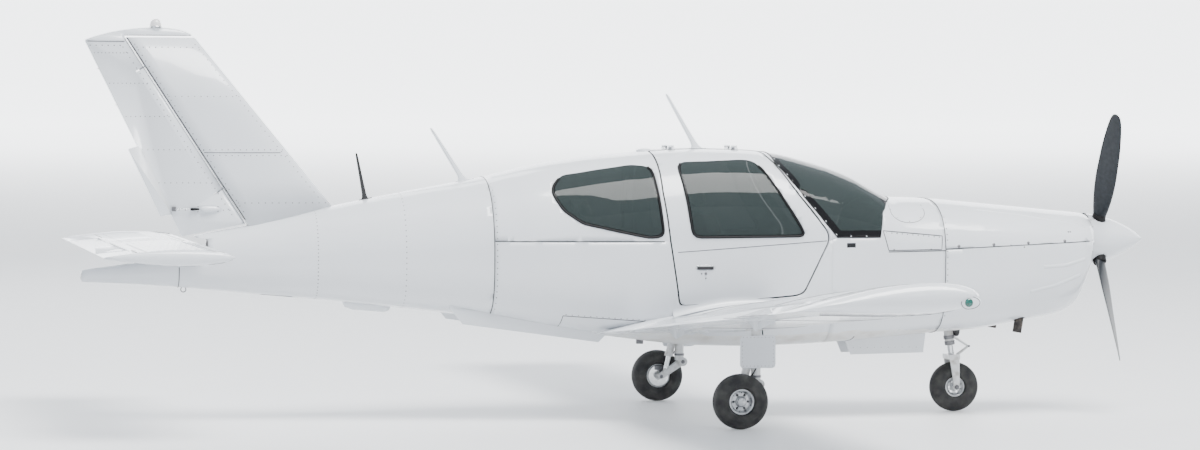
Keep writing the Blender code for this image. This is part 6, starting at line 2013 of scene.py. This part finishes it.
class AIRCRAFT_OT_antennas(bpy.types.Operator):
    """Blade antennas with foot plates and screws"""
    bl_idname = "aircraft.antennas"
    bl_label = "Antennas"

    def execute(self, context):
        for name, (x, base), (tip_x, tip_z), width, dark in ANTENNAS:
            made = black_plastic() if dark else white_paint()
            rings = []
            for t, half in ((0.0, width), (0.03, width * 0.86), (0.08, width * 0.58), (0.14, width * 0.45),
                            (0.40, width * 0.36), (0.70, width * 0.29), (0.93, width * 0.23),
                            (0.985, width * 0.17), (1.0, width * 0.07)):
                cx, cz = x + (tip_x - x) * t, base + (tip_z - base) * t
                rings.append([Vector((cx + half * math.cos(a), half * 0.30 * math.sin(a) * (1.15 - 0.3 * math.cos(a)),
                                      cz)) for a in angles(24)])
            piece(name + "_blade", bridged(rings), [made], replaces=(name,), smooth=60.0)
            plate = [[on_angle(x + width * share * math.cos(a), math.pi / 2 - width * share * 0.84 * math.sin(a),
                               lift)[0] for a in angles(28)]
                     for lift, share in ((-0.004, 1.35), (0.0022, 1.35), (0.0034, 1.22))]
            piece(name + "_foot", bridged(plate), [made], smooth=50.0)
            screws = [on_angle(x + width * 1.12 * u, math.pi / 2 - v * width * 0.30, 0.003)
                      for u, v in ((1, 0), (-1, 0), (0.45, 0.9), (0.45, -0.9), (-0.45, 0.9), (-0.45, -0.9))]
            studs(name + "_screws", screws, 0.003, 0.002, dark_steel(), segments=10)
        return {"FINISHED"}


# Stage

class AIRCRAFT_OT_stage(bpy.types.Operator):
    """Pale floor that curves up all round, soft lights, and the camera at the photograph's angle"""
    bl_idname = "aircraft.stage"
    bl_label = "Stage"

    def execute(self, context):
        self.floor()
        self.lights()
        self.camera()
        return {"FINISHED"}

    def floor(self):
        """A bowl whose far side, along +Y, glows softly, so that the aircraft stands before a pale ground."""
        made, shader = material("studio_floor", (0.66, 0.67, 0.68), 0.55)
        tree = made.node_tree
        tree.links.new(remap(made, texture(made, "Noise", 2.0), 0.50, 0.60), shader.inputs["Roughness"])
        place = tree.nodes.new("ShaderNodeTexCoord")
        away = tree.nodes.new("ShaderNodeSeparateXYZ")
        tree.links.new(place.outputs["Object"], away.inputs[0])
        glow = tree.nodes.new("ShaderNodeMapRange")
        glow.interpolation_type = "SMOOTHSTEP"
        glow.inputs["From Min"].default_value = 12.0
        glow.inputs["From Max"].default_value = 150.0
        glow.inputs["To Min"].default_value = 0.15
        glow.inputs["To Max"].default_value = 3.0
        tree.links.new(away.outputs["Y"], glow.inputs["Value"])
        tree.links.new(glow.outputs["Result"], shader.inputs["Emission Strength"])
        shader.inputs["Emission Color"].default_value = (0.97, 0.985, 1.0, 1.0)
        radius, bend, height = 320.0, 90.0, 170.0
        profile = [(0.0, 0.001), (0.0, radius - bend)]
        for k in range(1, 13):
            a = math.pi / 2 * k / 12
            profile.append((bend - bend * math.cos(a), radius - bend + bend * math.sin(a)))
        profile.append((height, radius))
        bm = spun(profile, (0, 0, -0.0005), (0, 0, 1), 96)
        face_up(bm)
        obj = linked("studio_floor", bm)
        obj.data.materials.append(made)
        obj.data.shade_smooth()

    def lights(self):
        world = bpy.data.worlds.new("studio")
        world.use_nodes = True
        background = world.node_tree.nodes["Background"]
        background.inputs["Color"].default_value = (0.86, 0.92, 1.0, 1.0)
        background.inputs["Strength"].default_value = 1.0
        bpy.context.scene.world = world
        for name, place, size, power, color in (
                ("key_light", (5.0, -10.0, 25.0), 16.0, 17000.0, (1.0, 0.99, 0.97)),
                ("fill_light", (-14.0, -14.0, 9.0), 14.0, 500.0, (0.88, 0.94, 1.0)),
                ("rim_light", (-6.0, 18.0, 14.0), 12.0, 1800.0, (0.95, 0.97, 1.0))):
            data = bpy.data.lights.new(name, "AREA")
            data.size = size
            data.energy = power
            data.color = color
            lamp = bpy.data.objects.new(name, data)
            lamp.location = place
            aim = Vector((0, 0, 1.0)) - Vector(place)
            lamp.rotation_euler = aim.to_track_quat("-Z", "Y").to_euler()
            bpy.context.scene.collection.objects.link(lamp)

    def camera(self):
        """The photograph's place and angle, a little wider and lower, so that the gear stands in view."""
        yaw, pitch, roll = math.radians(11.910), math.radians(1.562), math.radians(0.198)
        zoom, image_width, rise = 0.92, 1200.0, 23.5
        focal_pixels = 4379.07
        ahead = Vector((math.sin(yaw) * math.cos(pitch), math.cos(yaw) * math.cos(pitch), -math.sin(pitch)))
        right = Vector((math.cos(yaw), -math.sin(yaw), 0.0))
        up = right.cross(ahead)
        right, up = (right * math.cos(roll) + up * math.sin(roll), up * math.cos(roll) - right * math.sin(roll))
        data = bpy.data.cameras.new("photo_camera")
        data.sensor_width = 36.0
        data.lens = focal_pixels * zoom / image_width * data.sensor_width
        data.shift_y = -rise / image_width
        data.clip_end = 900.0
        camera = bpy.data.objects.new("photo_camera", data)
        turn = Matrix((right, up, -ahead)).transposed().to_4x4()
        camera.matrix_world = Matrix.Translation((-6.0928, -27.9812, 2.3031)) @ turn
        bpy.context.scene.collection.objects.link(camera)
        bpy.context.scene.camera = camera


class AIRCRAFT_PT_panel(bpy.types.Panel):
    """Lists the aircraft's pieces in the sidebar"""
    bl_label = "Aircraft"
    bl_idname = "AIRCRAFT_PT_panel"
    bl_space_type = "VIEW_3D"
    bl_region_type = "UI"
    bl_category = "Aircraft"

    def draw(self, context):
        for group in (context.scene.aircraft_sizes, context.scene.aircraft_colours):
            for name in group.__annotations__:
                self.layout.prop(group, name)
        for operator in OPERATORS:
            self.layout.operator(operator.bl_idname)


OPERATORS = (AIRCRAFT_OT_seats, AIRCRAFT_OT_stage, AIRCRAFT_OT_hull, AIRCRAFT_OT_glass, AIRCRAFT_OT_hull_details,
             AIRCRAFT_OT_wings, AIRCRAFT_OT_tail, AIRCRAFT_OT_propeller, AIRCRAFT_OT_gear, AIRCRAFT_OT_cabin,
             AIRCRAFT_OT_engine, AIRCRAFT_OT_antennas)
CLASSES = (AircraftSizes, AircraftColours) + OPERATORS + (AIRCRAFT_PT_panel,)


def register():
    for entry in CLASSES:
        bpy.utils.register_class(entry)
    bpy.types.Scene.aircraft_sizes = bpy.props.PointerProperty(type=AircraftSizes)
    bpy.types.Scene.aircraft_colours = bpy.props.PointerProperty(type=AircraftColours)


def unregister():
    del bpy.types.Scene.aircraft_colours
    del bpy.types.Scene.aircraft_sizes
    for entry in reversed(CLASSES):
        bpy.utils.unregister_class(entry)


def main():
    register()
    for operator in OPERATORS:
        group, name = operator.bl_idname.split(".")
        getattr(getattr(bpy.ops, group), name)()


if __name__ == "__main__":
    main()
